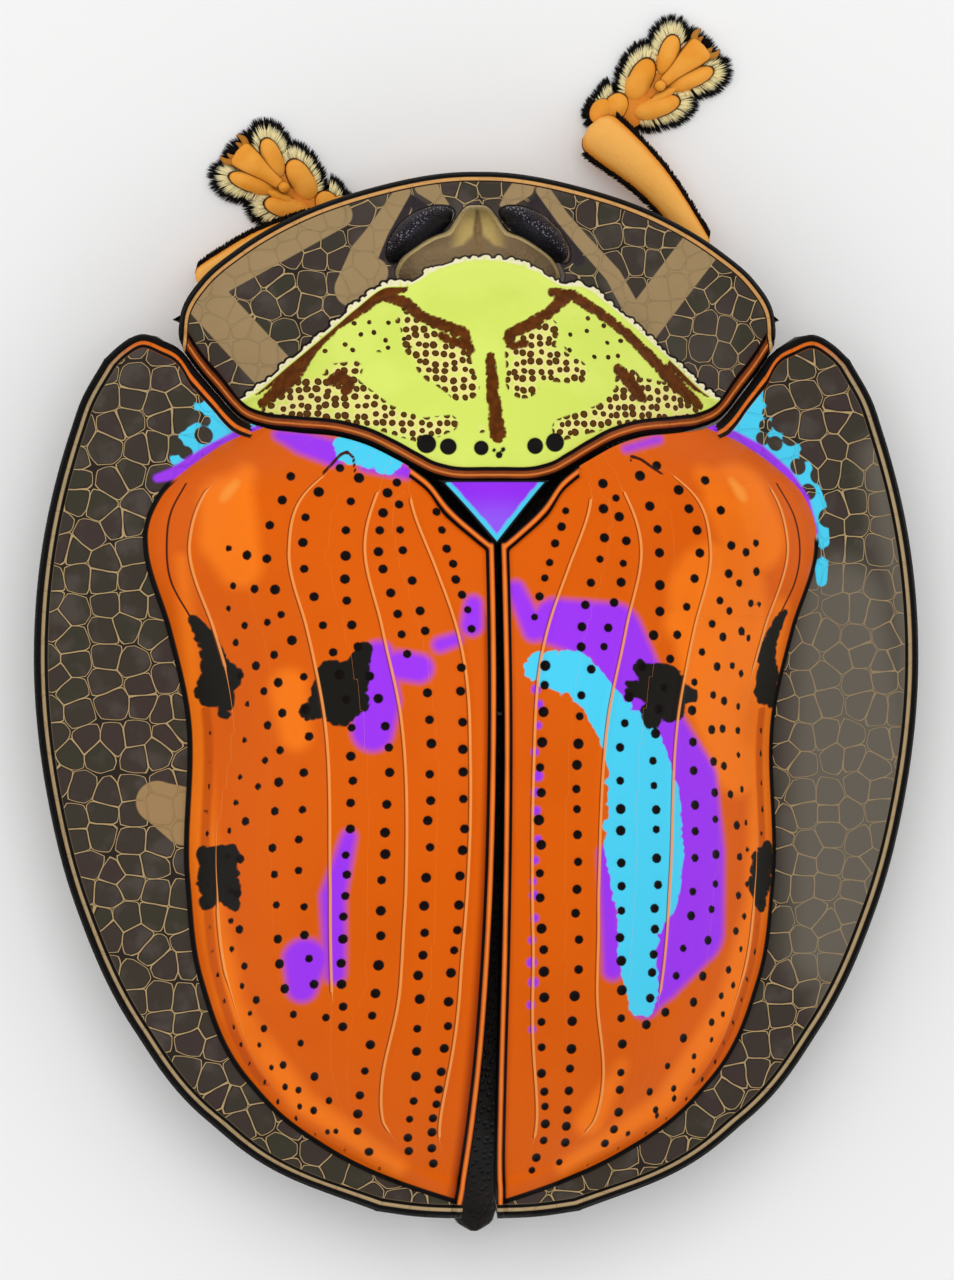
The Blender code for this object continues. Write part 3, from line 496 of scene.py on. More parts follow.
def elytronFields(x, y, side, pits):
    fields = {}
    away = x * side
    fields["edge"] = (discLine(y) - x) / steepness(discLine, y)
    fields["rim"] = np.minimum((outerWidth(y) - x) / steepness(outerWidth, y), rearEdge(x) - y)
    front = (y - frontEdge(x)) / steepness(frontEdge, x)
    fields["bead"] = np.where(x < 1.22, np.minimum(x - sutureGap(y), front), x - sutureGap(y))
    fields["warm"] = fields["rim"] - front
    fields["rim"] = np.where(x > 3.3, np.minimum(fields["rim"], front), fields["rim"])
    nearest = np.full(x.shape, 1.0)
    for line, strength in costae:
        offset = x - acrossDisc(leaning(line(y), side), y)
        offset = np.where(strength(y) > 0.3, offset, np.sign(offset) * (np.abs(offset) + 0.3 - strength(y)))
        nearest = np.where(np.abs(offset) < np.abs(nearest), offset, nearest)
    fields["costa"] = nearest * side
    patch = np.full(x.shape, -1.0)
    for k, beads in enumerate(blackPatches[side]):
        patch = np.maximum(patch, scalloped(away, y, 0.045, 40 + k, *beads))
    fields["patch"] = patch
    fields["purple"] = np.max([chain(away, y, *beads) for beads in purpleBands[side]], axis=0)
    cyan = np.full(x.shape, -1.0)
    for k, beads in enumerate(cyanBands[side]):
        cyan = np.maximum(cyan, scalloped(away, y, 0.05, 60 + k, *beads))
    if side < 0:
        cyan = np.minimum(cyan, -scalloped(away, y, 0.06, 71, *orangeIsland))
        draw = np.random.default_rng(5)
        for place in np.arange(0.9, 5.9, 0.3):
            speck = (-0.53 + draw.uniform(-0.04, 0.04), place + draw.uniform(-0.06, 0.06),
                     draw.uniform(0.05, 0.08))
            fields["purple"] = np.maximum(fields["purple"], 2.5 * chain(away, y, speck))
    fields["cyan"] = cyan
    fields["paintedLight"] = np.max([chain(away, y, *beads) for beads in paintedLightAreas[side]], axis=0)
    fields["paintedHighlight"] = chain(away, y, *highlightSpots[side])
    # Painted shade: a dark orange band along the lateral groove of the disc.
    slotShadeLine = 0.06 - np.abs(x - acrossDisc(0.945, y))
    fields["slotShade"] = np.where((y > 1.2) & (y < 6.6), slotShadeLine, -0.5)
    strip = 0.17 + 0.05 * np.clip((y - 2.0) / 4.0, 0.0, 1.0) - x + sutureGap(y)
    strip = np.minimum(strip, (y + 0.1) * 0.4) if side > 0 else 0.2 * strip - 0.06
    fields["shade"] = strip
    fields["groove"] = np.where((y > -2.0) & (y < -0.08), x - grooves[side](y), 1.0)
    fields["thorn"] = chain(away, y, *thorns[side])
    # Painted sheen: the right margin is paled grey over a wide area and along its rim.
    fields["greyTintAndSheen"] = np.full(x.shape, -1.0)
    if side < 0:
        rim = 1.2 * chain(away, y, *greySheenMarks["rim"])
        fields["greyTintAndSheen"] = np.maximum(chain(away, y, *greySheenMarks["wide"]), rim)
    cyan = np.max([chain(away, y, *beads) for beads in marginMarks[side]["cyan"]], axis=0)
    cells = np.max([chain(away, y, cell) for cell in marginMarks[side]["cell"]], axis=0)
    fields["marginCyan"] = np.minimum(cyan, -cells)
    fields["marginPurple"] = chain(away, y, *marginMarks[side]["purple"])
    fields["outline"] = y + 2.02 if side > 0 else y + 1.2
    fields["show"] = chain(away, y, *marginMarks[side]["show"])
    pit = np.full(x.shape, -0.3)
    for cx, cy, radius, narrow in pits:
        pit = np.maximum(pit, radius - np.hypot((x - cx) / narrow, y - cy))
    fields["pit"] = np.where(fields["edge"] > 0.05, pit, -0.3)
    return fields


def elytronPits(side):
    draw = np.random.default_rng(17 if side > 0 else 23)
    pits = []
    for line, first, last, spacing, radius, narrow in pitRows:
        y = first + draw.uniform(0.0, 0.1)
        while y < last:
            crowd = 1.0 - 0.38 * max(0.0, min(1.0, (y - 5.2) / 2.4))
            x = float(acrossDisc(leaning(line(y), side), y)) + draw.uniform(-0.025, 0.025)
            size = radius * draw.uniform(0.86, 1.14) * (0.55 + 0.45 * crowd)
            pits.append((x, y, size, narrow))
            y += spacing * crowd * draw.uniform(0.78, 1.25)
    return pits


def elytron(name, side, slotName):
    plan = elytronPlan
    disc = np.linspace(0.0, 1.0, plan["discColumns"])
    disc = 0.85 * disc + 0.15 * disc**2
    margin = np.linspace(0.0, 1.0, plan["marginColumns"] + 1)[1:]
    margin = 0.7 * margin + 0.3 * np.sin(margin * np.pi / 2)
    steps = np.linspace(0.0, 1.0, plan["rows"])
    steps = 0.45 * steps + 0.275 * (1 - np.cos(steps * np.pi))
    share = np.concatenate([disc, np.ones(len(margin))])
    out = np.concatenate([np.zeros(len(disc)), margin])

    def across(y):
        return acrossDisc(share, y) + out * (outerWidth(y) - discWidth(y))

    start = np.full(len(share), -2.5)
    end = np.full(len(share), 8.4)
    for _ in range(40):
        start = 0.5 * (start + frontEdge(across(start)))
        end = 0.5 * (end + rearEdge(across(end)))
    y = start[:, None] + (end - start)[:, None] * steps[None, :]
    inner = sutureGap(y)
    x = inner + share[:, None] * (discWidth(y) - inner) + out[:, None] * (outerWidth(y) - discWidth(y))
    z = dome(x, y)
    smooth = np.stack([x * side, y, z], axis=2)
    pits = elytronPits(side)
    fields = elytronFields(x, y, side, pits)
    cx, cy, reach, height = plan["callus"]
    z = z + height * np.exp(-1.6 * ((x - cx) ** 2 + (y - cy) ** 2) / reach**2)
    for line, strength in costae:
        offset = x - acrossDisc(leaning(line(y), side), y)
        z += plan["costaHeight"] * np.clip(strength(y), 0, 1) * np.exp(-((offset / plan["costaWidth"]) ** 2))
    bead = fields["bead"]
    dip = 0.05 * np.exp(-(((bead - 0.12) / 0.03) ** 2))
    z += plan["beadHeight"] * np.exp(-(((bead - 0.055) / 0.04) ** 2)) - dip
    rim = fields["rim"]
    z += plan["rimHeight"] * np.exp(-(((rim - 0.06) / 0.06) ** 2)) - 0.04 * np.clip(1 - rim / 0.05, 0, 1)
    z -= plan["pitDepth"] * np.clip((fields["pit"] + 0.02) / 0.07, 0.0, 1.0)
    z -= 0.05 * np.exp(-((fields["edge"] / 0.05) ** 2)) + 0.03 * np.exp(-((fields["groove"] / 0.03) ** 2))
    z += 0.05 * np.clip(1 - np.abs(fields["edge"] - 0.22) / 0.16, 0, 1) * (y > 1.2)
    top = np.stack([x * side, y, z], axis=2)
    points = shellPoints(top, smooth, plan["thickness"], plan["underStep"])
    low = [values[:: plan["underStep"], :: plan["underStep"]] for values in fields.values()]
    faces = shellFaces(len(share), plan["rows"], plan["underStep"])
    joined = {key: np.concatenate([v.ravel(), w.ravel()]) for (key, v), w in zip(fields.items(), low)}
    made = piece(name, points, faces, elytronFinish(name + "Finish"), slotName, joined)
    print(name, len(faces), "faces,", len(pits), "pits")
    return made


elytron("elytronLeft", 1, "elytron_left")
elytron("elytronRight", -1, "elytron_right")


pronotumPlan = {
    "centre": -1.9, "disc": 3.35, "top": 5.15, "columns": 301, "rows": 141, "underStep": 4,
    "thickness": 0.3, "rimHeight": 0.06, "beadHeight": 0.05, "dotDepth": 0.05, "corner": 0.045,
}
pronotumRadius = curve((0, 4.54), (20.5, 4.58), (34, 4.72), (45.3, 4.87), (53, 4.97),
                       (58.8, 4.95), (63, 4.8), (90, 4.8))
hindEdge = curve((0.0, -1.99), (0.68, -2.02), (0.91, -2.09), (1.1, -2.19), (1.43, -2.38), (1.76, -2.55),
                 (2.09, -2.655), (2.74, -2.735), (3.11, -2.785), (3.44, -2.93), (3.79, -3.328), (4.07, -3.68),
                 (4.2, -3.87))
archLine = curve((0.0, -5.2), (0.45, -5.13), (0.8, -4.99), (1.05, -4.84), (1.46, -4.79), (1.85, -4.5),
                 (2.3, -4.11), (2.78, -3.7), (3.25, -3.29), (3.55, -3.13))
brownBands = (
    ((1.18, -4.77, 0.05), (1.44, -4.69, 0.06), (1.74, -4.48, 0.055), (2.14, -4.22, 0.05), (2.46, -3.9, 0.06),
     (2.7, -3.55, 0.1), (2.9, -3.33, 0.07), (3.12, -3.12, 0.04)),
    ((2.75, -3.72, 0.04), (3.0, -3.45, 0.04), (3.2, -3.3, 0.03)),
    ((1.4, -4.64, 0.05), (1.15, -4.55, 0.06), (0.93, -4.34, 0.055), (0.6, -4.2, 0.06), (0.36, -4.12, 0.05),
     (0.28, -3.86, 0.03)),
    ((0.68, -4.06, 0.035), (0.36, -3.92, 0.04)),
    ((-0.95, -4.7, 0.04), (-1.25, -4.65, 0.06), (-1.58, -4.44, 0.055), (-2.01, -4.12, 0.05),
     (-2.4, -3.75, 0.06),
     (-2.7, -3.45, 0.09), (-3.11, -3.1, 0.04)),
    ((-2.7, -3.68, 0.04), (-3.0, -3.42, 0.04), (-3.25, -3.28, 0.03)),
    ((-1.15, -4.64, 0.07), (-0.87, -4.4, 0.05), (-0.6, -4.24, 0.06), (-0.3, -4.1, 0.055),
     (-0.25, -4.02, 0.04)),
    ((-0.3, -3.92, 0.03), (-0.5, -3.96, 0.03)),
    ((0.01, -3.76, 0.045), (-0.01, -3.22, 0.07), (-0.06, -2.66, 0.09)),
    ((2.18, -3.44, 0.06), (2.08, -3.48, 0.08), (1.98, -3.38, 0.06), (2.02, -3.28, 0.04)),
    ((-1.86, -3.6, 0.05), (-2.0, -3.45, 0.07), (-2.12, -3.3, 0.07), (-2.2, -3.18, 0.05)),
)
dotAreas = (((1.14, -4.3, 0.13), (0.95, -3.98, 0.28), (0.68, -3.75, 0.4), (0.42, -3.36, 0.24)),
            ((-0.85, -4.16, 0.16), (-0.56, -3.8, 0.36), (-0.44, -3.42, 0.25)),
            ((-0.7, -3.72, 0.3), (-1.22, -3.56, 0.18)),
            ((3.0, -3.02, 0.14), (2.6, -3.14, 0.34), (2.1, -3.2, 0.36), (1.5, -2.9, 0.2), (1.0, -2.72, 0.18),
             (0.62, -2.82, 0.12)), ((2.1, -3.5, 0.2), (1.9, -3.6, 0.12)), ((0.17, -2.74, 0.06),),
            ((-3.0, -3.02, 0.14), (-2.6, -3.1, 0.32), (-2.1, -3.16, 0.34), (-1.6, -2.92, 0.18),
             (-1.0, -2.74, 0.16)),
            ((-2.0, -3.42, 0.2),))
sparseAreas = (((2.2, -3.85, 0.14), (1.78, -4.1, 0.22), (1.3, -4.05, 0.25)),
               ((-1.3, -4.0, 0.25), (-1.85, -3.96, 0.25)), ((1.0, -4.3, 0.14), (1.3, -4.42, 0.1)),
               ((-1.3, -4.42, 0.1), (-1.6, -4.2, 0.14)))
bigDots = ((0.94, -2.53, 0.135), (0.64, -2.49, 0.118), (0.18, -2.47, 0.105), (-0.59, -2.5, 0.118),
           (-0.88, -2.55, 0.135), (-0.07, -2.37, 0.05), (0.0, -2.44, 0.03), (-0.13, -2.45, 0.035))
throughBands = (((2.85, -3.5, 0.3), (3.95, -4.75, 0.3)), ((3.95, -4.8, 0.27), (1.96, -5.83, 0.2)),
                ((-2.2, -4.1, 0.28), (-3.3, -5.45, 0.28)),
                ((1.04, -6.15, 0.11), (1.4, -5.6, 0.14), (1.62, -5.25, 0.2),
                (1.78, -4.75, 0.27)), ((1.5, -5.0, 0.2), (1.62, -4.8, 0.22)),
                ((0.7, -6.24, 0.17), (0.56, -6.07, 0.1),
                (0.42, -5.97, 0.03)),
                ((-0.97, -6.17, 0.1), (-1.23, -5.78, 0.1), (-1.52, -5.42, 0.11), (-1.93, -4.95, 0.12),
                (-2.16, -4.5, 0.13)), ((-0.68, -6.22, 0.16), (-0.5, -6.06, 0.11), (-0.36, -5.96, 0.03)))
headShadow = (((1.42, -5.22, 0.1), (1.26, -5.52, 0.1), (1.05, -5.86, 0.08), (0.91, -6.06, 0.05),
               (0.8, -5.9, 0.12)),
              ((-1.42, -5.18, 0.1), (-1.26, -5.5, 0.1), (-1.05, -5.84, 0.08), (-0.88, -6.08, 0.05),
               (-0.8, -5.9, 0.12)),
              ((1.1, -5.2, 0.2), (0.8, -5.55, 0.28)), ((-1.1, -5.2, 0.2), (-0.8, -5.55, 0.28)))
rimArcs = (((1.02, -6.2, 0.012), (0.92, -6.29, 0.014), (0.74, -6.34, 0.014)),
           ((-0.62, -6.36, 0.014), (-0.78, -6.32, 0.014),
           (-0.85, -6.22, 0.012)))


headPlan = {"centre": (0.0, -5.15, 1.26), "columns": 180, "rows": 60, "above": 0.58, "below": 0.6}
headOutline = curve((0, 0.85), (11, 0.84), (22, 0.75), (31, 0.69), (44, 0.65), (62, 0.78), (78, 0.96),
                    (88, 1.12),
                    (101, 1.24), (118, 1.02), (140, 0.66), (180, 0.5))
eyePlan = {"centre": (0.85, -5.6, 1.28), "radii": (0.6, 0.25, 0.33), "turn": 38.0, "bend": 0.12}


# What shows of head and eyes through the shield: a little aside, as the camera looks aslant at them.
clearView = {"shift": 0.05, "hoodAhead": 0.02, "hoodInset": 0.02, "eyeAside": 0.01, "eyeInset": 0.015,
             "eyeBend": 0.3, "eyeReach": 0.22}


def pronotumHeight(x, y):
    plan = pronotumPlan
    ahead = plan["centre"] - y
    radius = np.hypot(x, ahead)
    angle = np.degrees(np.arctan2(np.abs(x), np.maximum(ahead, 0.01)))
    rim = 1.9 - 0.22 * np.clip(angle / 65.0, 0.0, 1.0) ** 2
    foot = 2.9 - 0.42 * np.clip(angle / 65.0, 0.0, 1.0) ** 1.5
    share = np.clip(radius / plan["disc"], 0.0, 1.0)
    disc = foot + (plan["top"] - foot) * (1 - share**1.8) ** 0.88
    out = (radius - plan["disc"]) / (pronotumRadius(angle) - plan["disc"])
    margin = rim + (foot - rim) * (1 - np.clip(out, 0.0, 1.0)) ** domeShape["bend"]
    return np.where(radius < plan["disc"], disc, margin)


def pronotumFields(x, y):
    aside = np.abs(x)
    radius = np.hypot(x, pronotumPlan["centre"] - y)
    angle = np.degrees(np.arctan2(aside, np.maximum(pronotumPlan["centre"] - y, 0.01)))
    fields = {"rim": pronotumRadius(angle) - radius}
    fields["bead"] = (hindEdge(aside) - y) / steepness(hindEdge, aside)
    draw = np.random.default_rng(31)
    edge = (y - archLine(aside)) / steepness(archLine, aside)
    for _ in range(170):
        cx = draw.uniform(-3.4, 3.4)
        size = draw.uniform(0.025, 0.05)
        cy = float(archLine(abs(cx))) - draw.uniform(-0.04, 0.02)
        edge = np.maximum(edge, size - np.hypot(x - cx, y - cy))
    fields["disc"] = edge
    fields["brown"] = np.max([scalloped(x, y, 0.024, 90 + k, *b) for k, b in enumerate(brownBands)], axis=0)
    fields["dense"] = np.max([chain(x, y, *b) for b in dotAreas], axis=0)
    fields["sparse"] = np.max([chain(x, y, *b) for b in sparseAreas], axis=0)
    fields["big"] = np.max([chain(x, y, dot) for dot in bigDots], axis=0)
    seen = x - clearView["shift"]
    fields["show"] = np.max([chain(seen, y, *b) for b in throughBands], axis=0)
    fields["shadow"] = np.max([chain(seen, y, *b) for b in headShadow], axis=0)
    fields["arc"] = np.max([chain(seen, y, *b) for b in rimArcs], axis=0)
    turn = np.degrees(np.arctan2(np.abs(seen), headPlan["centre"][1] - y))
    fields["hood"] = headOutline(turn) - np.hypot(seen, headPlan["centre"][1] - y + clearView["hoodAhead"])
    fields["hood"] = fields["hood"] - clearView["hoodInset"]
    angle = math.radians(eyePlan["turn"])
    outX = np.abs(seen) - eyePlan["centre"][0] - clearView["eyeAside"]
    outY = y - eyePlan["centre"][1] - clearView["eyeInset"]
    along = (outX * math.cos(angle) + outY * math.sin(angle)) / (eyePlan["radii"][0] - clearView["eyeInset"])
    across = (outY * math.cos(angle) - outX * math.sin(angle)) / (eyePlan["radii"][1] - clearView["eyeInset"])
    fields["eye"] = (1 - np.hypot(along, across - clearView["eyeBend"] * along**2)) * clearView["eyeReach"]
    return fields


def pronotumFinish():
    finish = Finish("pronotumFinish")
    disc = finish.field("disc")
    inside = disc.over(0.0, 0.01)
    lime = finish.mix(paint(226, 242, 112), paint(214, 233, 98), finish.noise(1.2).over(0.52, 0.12) * 0.6)
    dense = finish.field("dense")
    spot = finish.shift(0.05, 0.3)
    near = finish.cells(0.124, "F1", 0.5, 0, spot)
    size = finish.node("ShaderNodeSeparateColor", None, {0: finish.cells(0.124, "F1", 0.5, 1, spot)})
    lime = finish.mix(lime, paint(248, 232, 152), dense.over(0.05, 0.1) * near.under(0.62, 0.12) * 0.9)
    dot = (near - 0.12 * size).under(0.31, 0.03) * dense.over(0.0, 0.015)
    far = finish.cells(0.22, "F1", 0.9, 0, spot)
    dot = dot.most(far.under(0.15, 0.02) * finish.field("sparse").over(0.0, 0.02))
    ring = (near - 0.12 * size).under(0.2, 0.04)
    brown = finish.mix(paint(62, 34, 8), paint(96, 58, 8), ring)
    colour = finish.mix(lime, brown, dot)
    colour = finish.mix(colour, paint(252, 242, 206), disc.under(0.03, 0.012))
    streak = finish.mix(paint(86, 42, 4), paint(104, 52, 8), finish.noise(0.12).over(0.5, 0.1))
    bands = finish.field("brown").over(0.0, 0.01) * disc.over(0.045, 0.01)
    colour = finish.mix(colour, streak, bands)
    colour = finish.mix(colour, paint(22, 20, 18), finish.field("big").over(0.0, 0.01))
    net, walls = honeycomb(finish, 0.33, finish.noise(2.2).over(0.64, 0.1) * 0.2)
    net = finish.mix(net, paint(52, 45, 48), finish.field("shadow").over(0.0, 0.02))
    show = finish.field("show").over(0.0, 0.012)
    net = finish.mix(net, finish.mix(paint(154, 130, 92), paint(168, 142, 102), finish.noise(0.6)), show)
    net = finish.mix(net, paint(214, 110, 44), finish.field("arc").over(0.0, 0.008))
    colour = finish.mix(net, colour, inside)
    colour = finish.mix(colour, paint(14, 10, 8), abs(disc + 0.012).under(0.015, 0.007))
    bead = finish.field("bead")
    rolled = finish.mix(paint(160, 78, 34), paint(128, 58, 24), finish.noise(0.6).over(0.5, 0.2))
    rolled = finish.mix(rolled, paint(226, 128, 54), bead.between(0.085, 0.11, 0.012))
    colour = finish.mix(colour, rolled, bead.under(0.21, 0.008))
    colour = finish.mix(colour, paint(10, 8, 8),
                        bead.between(0.155, 0.21, 0.008).most(bead.under(0.052, 0.008)))
    rim = finish.field("rim")
    colour = finish.mix(colour, paint(222, 166, 100), rim.under(0.14, 0.01))
    colour = finish.mix(colour, paint(12, 10, 9),
                        rim.between(0.124, 0.145, 0.006).most(rim.under(0.078, 0.008)))
    window = finish.field("hood").most(finish.field("eye"))
    colour = finish.mix(colour, paint(14, 11, 10), abs(window).under(0.014, 0.006) * disc.under(-0.02, 0.01))
    clear = window.over(0.0, 0.008) * disc.under(-0.02, 0.01) * rim.over(0.17, 0.01)
    finish.bump(walls * (1 - inside) * 0.8 - dot + finish.noise(0.08, 2.0) * 0.3, 0.012)
    rough = 0.4 + 0.15 * finish.noise(0.4)
    return finish.wear(Base_Color=colour, Roughness=rough, Alpha=1 - 0.97 * clear,
                       Specular_IOR_Level=0.06)


def pronotum():
    plan = pronotumPlan
    turns = np.linspace(-1.0, 1.0, plan["columns"])
    downs = np.linspace(0.0, 1.0, plan["rows"])
    angle = np.radians(60.5 * np.abs(turns) ** 0.93)
    reach = pronotumRadius(np.degrees(angle))
    frontX = np.sign(turns) * reach * np.sin(angle)
    frontY = plan["centre"] - reach * np.cos(angle)
    hindX = 4.19 * np.sign(turns) * np.abs(turns) ** 0.95
    hindY = hindEdge(np.abs(hindX))
    x = frontX[:, None] + (hindX - frontX)[:, None] * downs[None, :]
    corner = plan["corner"] * np.sign(turns) * np.clip((np.abs(turns) - 0.92) / 0.08, 0.0, 1.0) ** 2
    x = x + corner[:, None] * np.sin(np.pi * downs)[None, :]
    y = frontY[:, None] + (hindY - frontY)[:, None] * downs[None, :]
    z = pronotumHeight(x, y)
    smooth = np.stack([x, y, z], axis=2)
    fields = pronotumFields(x, y)
    rim, bead = fields["rim"], fields["bead"]
    z = z + plan["rimHeight"] * np.exp(-(((rim - 0.06) / 0.06) ** 2)) - 0.04 * np.clip(1 - rim / 0.05, 0, 1)
    dip = 0.04 * np.exp(-(((bead - 0.17) / 0.03) ** 2))
    z += plan["beadHeight"] * np.exp(-(((bead - 0.09) / 0.05) ** 2)) - dip
    z -= plan["dotDepth"] * np.clip((fields["big"] + 0.02) / 0.07, 0.0, 1.0)
    z -= 0.035 * np.clip((fields["brown"] + 0.03) / 0.07, 0.0, 1.0) * (fields["disc"] > 0.03)
    z += 0.05 * np.exp(-(((fields["disc"] - 0.04) / 0.06) ** 2))
    top = np.stack([x, y, z], axis=2)
    points = shellPoints(top, smooth, plan["thickness"], plan["underStep"])
    faces = shellFaces(plan["columns"], plan["rows"], plan["underStep"])
    step = plan["underStep"]
    wider = {"hood": 0.25, "eye": 0.25, "disc": -0.15}  # the lower sheet clears a wider view of the head
    joined = {key: np.concatenate([v.ravel(), v[::step, ::step].ravel() + wider.get(key, 0.0)])
              for key, v in fields.items()}
    made = piece("pronotumShield", points, faces, pronotumFinish(), "pronotum", joined)
    print("pronotum", len(faces), "faces")
    return made


pronotum()

scutellumPlan = {"base": -2.02, "tip": -1.13, "halfBase": 0.79, "halfTip": 0.03, "columns": 41, "rows": 31}


def scutellum():
    plan = scutellumPlan
    finish = Finish("scutellumFinish")
    edge = finish.field("edge")
    colour = finish.mix(paint(152, 44, 250), paint(150, 88, 252), finish.field("back").over(0.42, 0.25))
    flank = finish.field("flank") + 0.05 * finish.noise(0.15)
    colour = finish.mix(paint(78, 216, 252), colour, flank.over(0.12, 0.025))
    colour = finish.mix(colour, paint(12, 10, 12), edge.under(0.035, 0.008))
    finish.bump(finish.noise(0.1, 2.0), 0.008)
    finish.wear(Base_Color=colour, Roughness=0.36, Specular_IOR_Level=0.15)
    across = np.linspace(-1.0, 1.0, plan["columns"])[:, None]
    back = np.linspace(0.0, 1.0, plan["rows"])[None, :]
    half = plan["halfBase"] + (plan["halfTip"] - plan["halfBase"]) * back**0.95
    y = plan["base"] + (plan["tip"] - plan["base"]) * back + 0 * across
    x = across * half
    z = crestHeight(y) - 0.1 - 0.22 * np.abs(x) ** 1.6 + 0.03 * np.clip(1 - np.abs(across), 0, 0.5)
    smooth = np.stack([x, y, z], axis=2)
    points = shellPoints(smooth, smooth, 0.35, 2)
    flank = (half - np.abs(x)) * 0.75
    fields = {"edge": np.minimum(flank, y - plan["base"]), "flank": flank, "back": back + 0 * across}
    joined = {key: np.concatenate([v.ravel(), v[::2, ::2].ravel()]) for key, v in fields.items()}
    piece("scutellumPlate", points, shellFaces(plan["columns"], plan["rows"], 2), finish.material,
          "scutellum", joined)
    print("scutellum made")


scutellum()


# Closed forms that several pieces are made of.
def ringFaces(columns, rings):  # quads between rings, and a fan to the pole at either end
    faces = []
    for j in range(rings - 1):
        for i in range(columns):
            a, b = j * columns + i, j * columns + (i + 1) % columns
            faces.append((a, b, b + columns, a + columns))
    first, last = rings * columns, (rings - 1) * columns
    for i in range(columns):
        after = (i + 1) % columns
        faces.append((after, i, first))
        faces.append((last + i, last + after, first + 1))
    return faces


def spun(x, y, angle):
    return x * math.cos(angle) - y * math.sin(angle), x * math.sin(angle) + y * math.cos(angle)


def roundForm(centre, radii, turn=0.0, columns=28, rows=18, power=1.0, floor=None, bend=0.0):
    # An ellipsoid; power under 1 squares it off, bend curves its long axis, floor flattens its underside.
    around = np.linspace(0, 2 * np.pi, columns, endpoint=False)[None, :]
    tilt = np.linspace(-np.pi / 2, np.pi / 2, rows)[1:-1, None]
    x = np.sign(np.cos(around)) * np.abs(np.cos(around)) ** power * np.cos(tilt) ** power * radii[0]
    y = np.sign(np.sin(around)) * np.abs(np.sin(around)) ** power * np.cos(tilt) ** power * radii[1]
    z = np.sin(tilt) * radii[2] + 0 * around
    points = np.stack([x, y, z], axis=2).reshape(-1, 3)
    points = np.concatenate([points, [(0, 0, -radii[2]), (0, 0, radii[2])]])
    points[:, 1] += bend * points[:, 0] ** 2
    turned = points.copy()
    turned[:, 0], turned[:, 1] = spun(points[:, 0], points[:, 1], math.radians(turn))
    turned += np.array(centre)
    if floor is not None:
        turned[:, 2] = np.maximum(turned[:, 2], floor)
    height = np.concatenate([np.repeat(np.sin(tilt[:, 0]), columns), [-1.0, 1.0]])
    return turned, ringFaces(columns, rows - 2), height


def spineOf(points, rings):  # a smooth line through a few points, and how far along each ring is
    points = np.array(points, float)
    reach = np.concatenate([[0.0], np.cumsum(np.linalg.norm(np.diff(points, axis=0), axis=1))])
    shares = np.linspace(0.0, 1.0, rings)
    line = np.stack([curve(*zip(reach, points[:, k]))(shares * reach[-1]) for k in range(3)], axis=1)
    return line, shares, reach[-1]


def loft(points, profile, rings=36, sides=24, knobs=0.0, count=0):
    # A tube of flattened rings; profile holds (share, half width, half height), knobs waists it count times.
    line, shares, length = spineOf(points, rings)
    wide = curve(*[(p[0], p[1]) for p in profile])(shares)
    high = curve(*[(p[0], p[2]) for p in profile])(shares)
    ends = np.minimum(shares, 1 - shares) * length
    cap = np.sqrt(1 - (1 - np.clip(ends / (0.9 * np.minimum(wide, high)), 0, 1)) ** 2)
    if count:
        cap = cap * (1 - knobs * np.abs(np.cos(np.pi * count * shares)) ** 3)
    ahead = np.gradient(line, axis=0)
    ahead /= np.linalg.norm(ahead, axis=1, keepdims=True)
    across = np.cross(ahead, (0.0, 0.0, 1.0))
    across /= np.linalg.norm(across, axis=1, keepdims=True)
    above = np.cross(across, ahead)
    turn = np.linspace(0, 2 * np.pi, sides, endpoint=False)
    ring = across[:, None] * np.cos(turn)[None, :, None] * (wide * cap)[:, None, None]
    ring = ring + above[:, None] * np.sin(turn)[None, :, None] * (high * cap)[:, None, None]
    made = (line[:, None] + ring)[1:-1].reshape(-1, 3)
    made = np.concatenate([made, [line[0], line[-1]]])
    along = np.concatenate([np.repeat(shares[1:-1], sides), [0.0, 1.0]])
    side = np.concatenate([np.tile(np.abs(np.cos(turn)), rings - 2), [0.0, 0.0]])
    frame = {"line": line, "across": across, "above": above, "ahead": ahead, "wide": wide * cap,
             "high": high * cap, "side": side}
    return made, ringFaces(sides, rings - 2), along, frame


def together(*forms):  # several closed forms as one mesh, with one field
    points, faces, values, start = [], [], [], 0
    for form in forms:
        points.append(form[0])
        faces += [tuple(start + i for i in face) for face in form[1]]
        values.append(form[2])
        start += len(form[0])
    return np.concatenate(points), faces, np.concatenate(values)


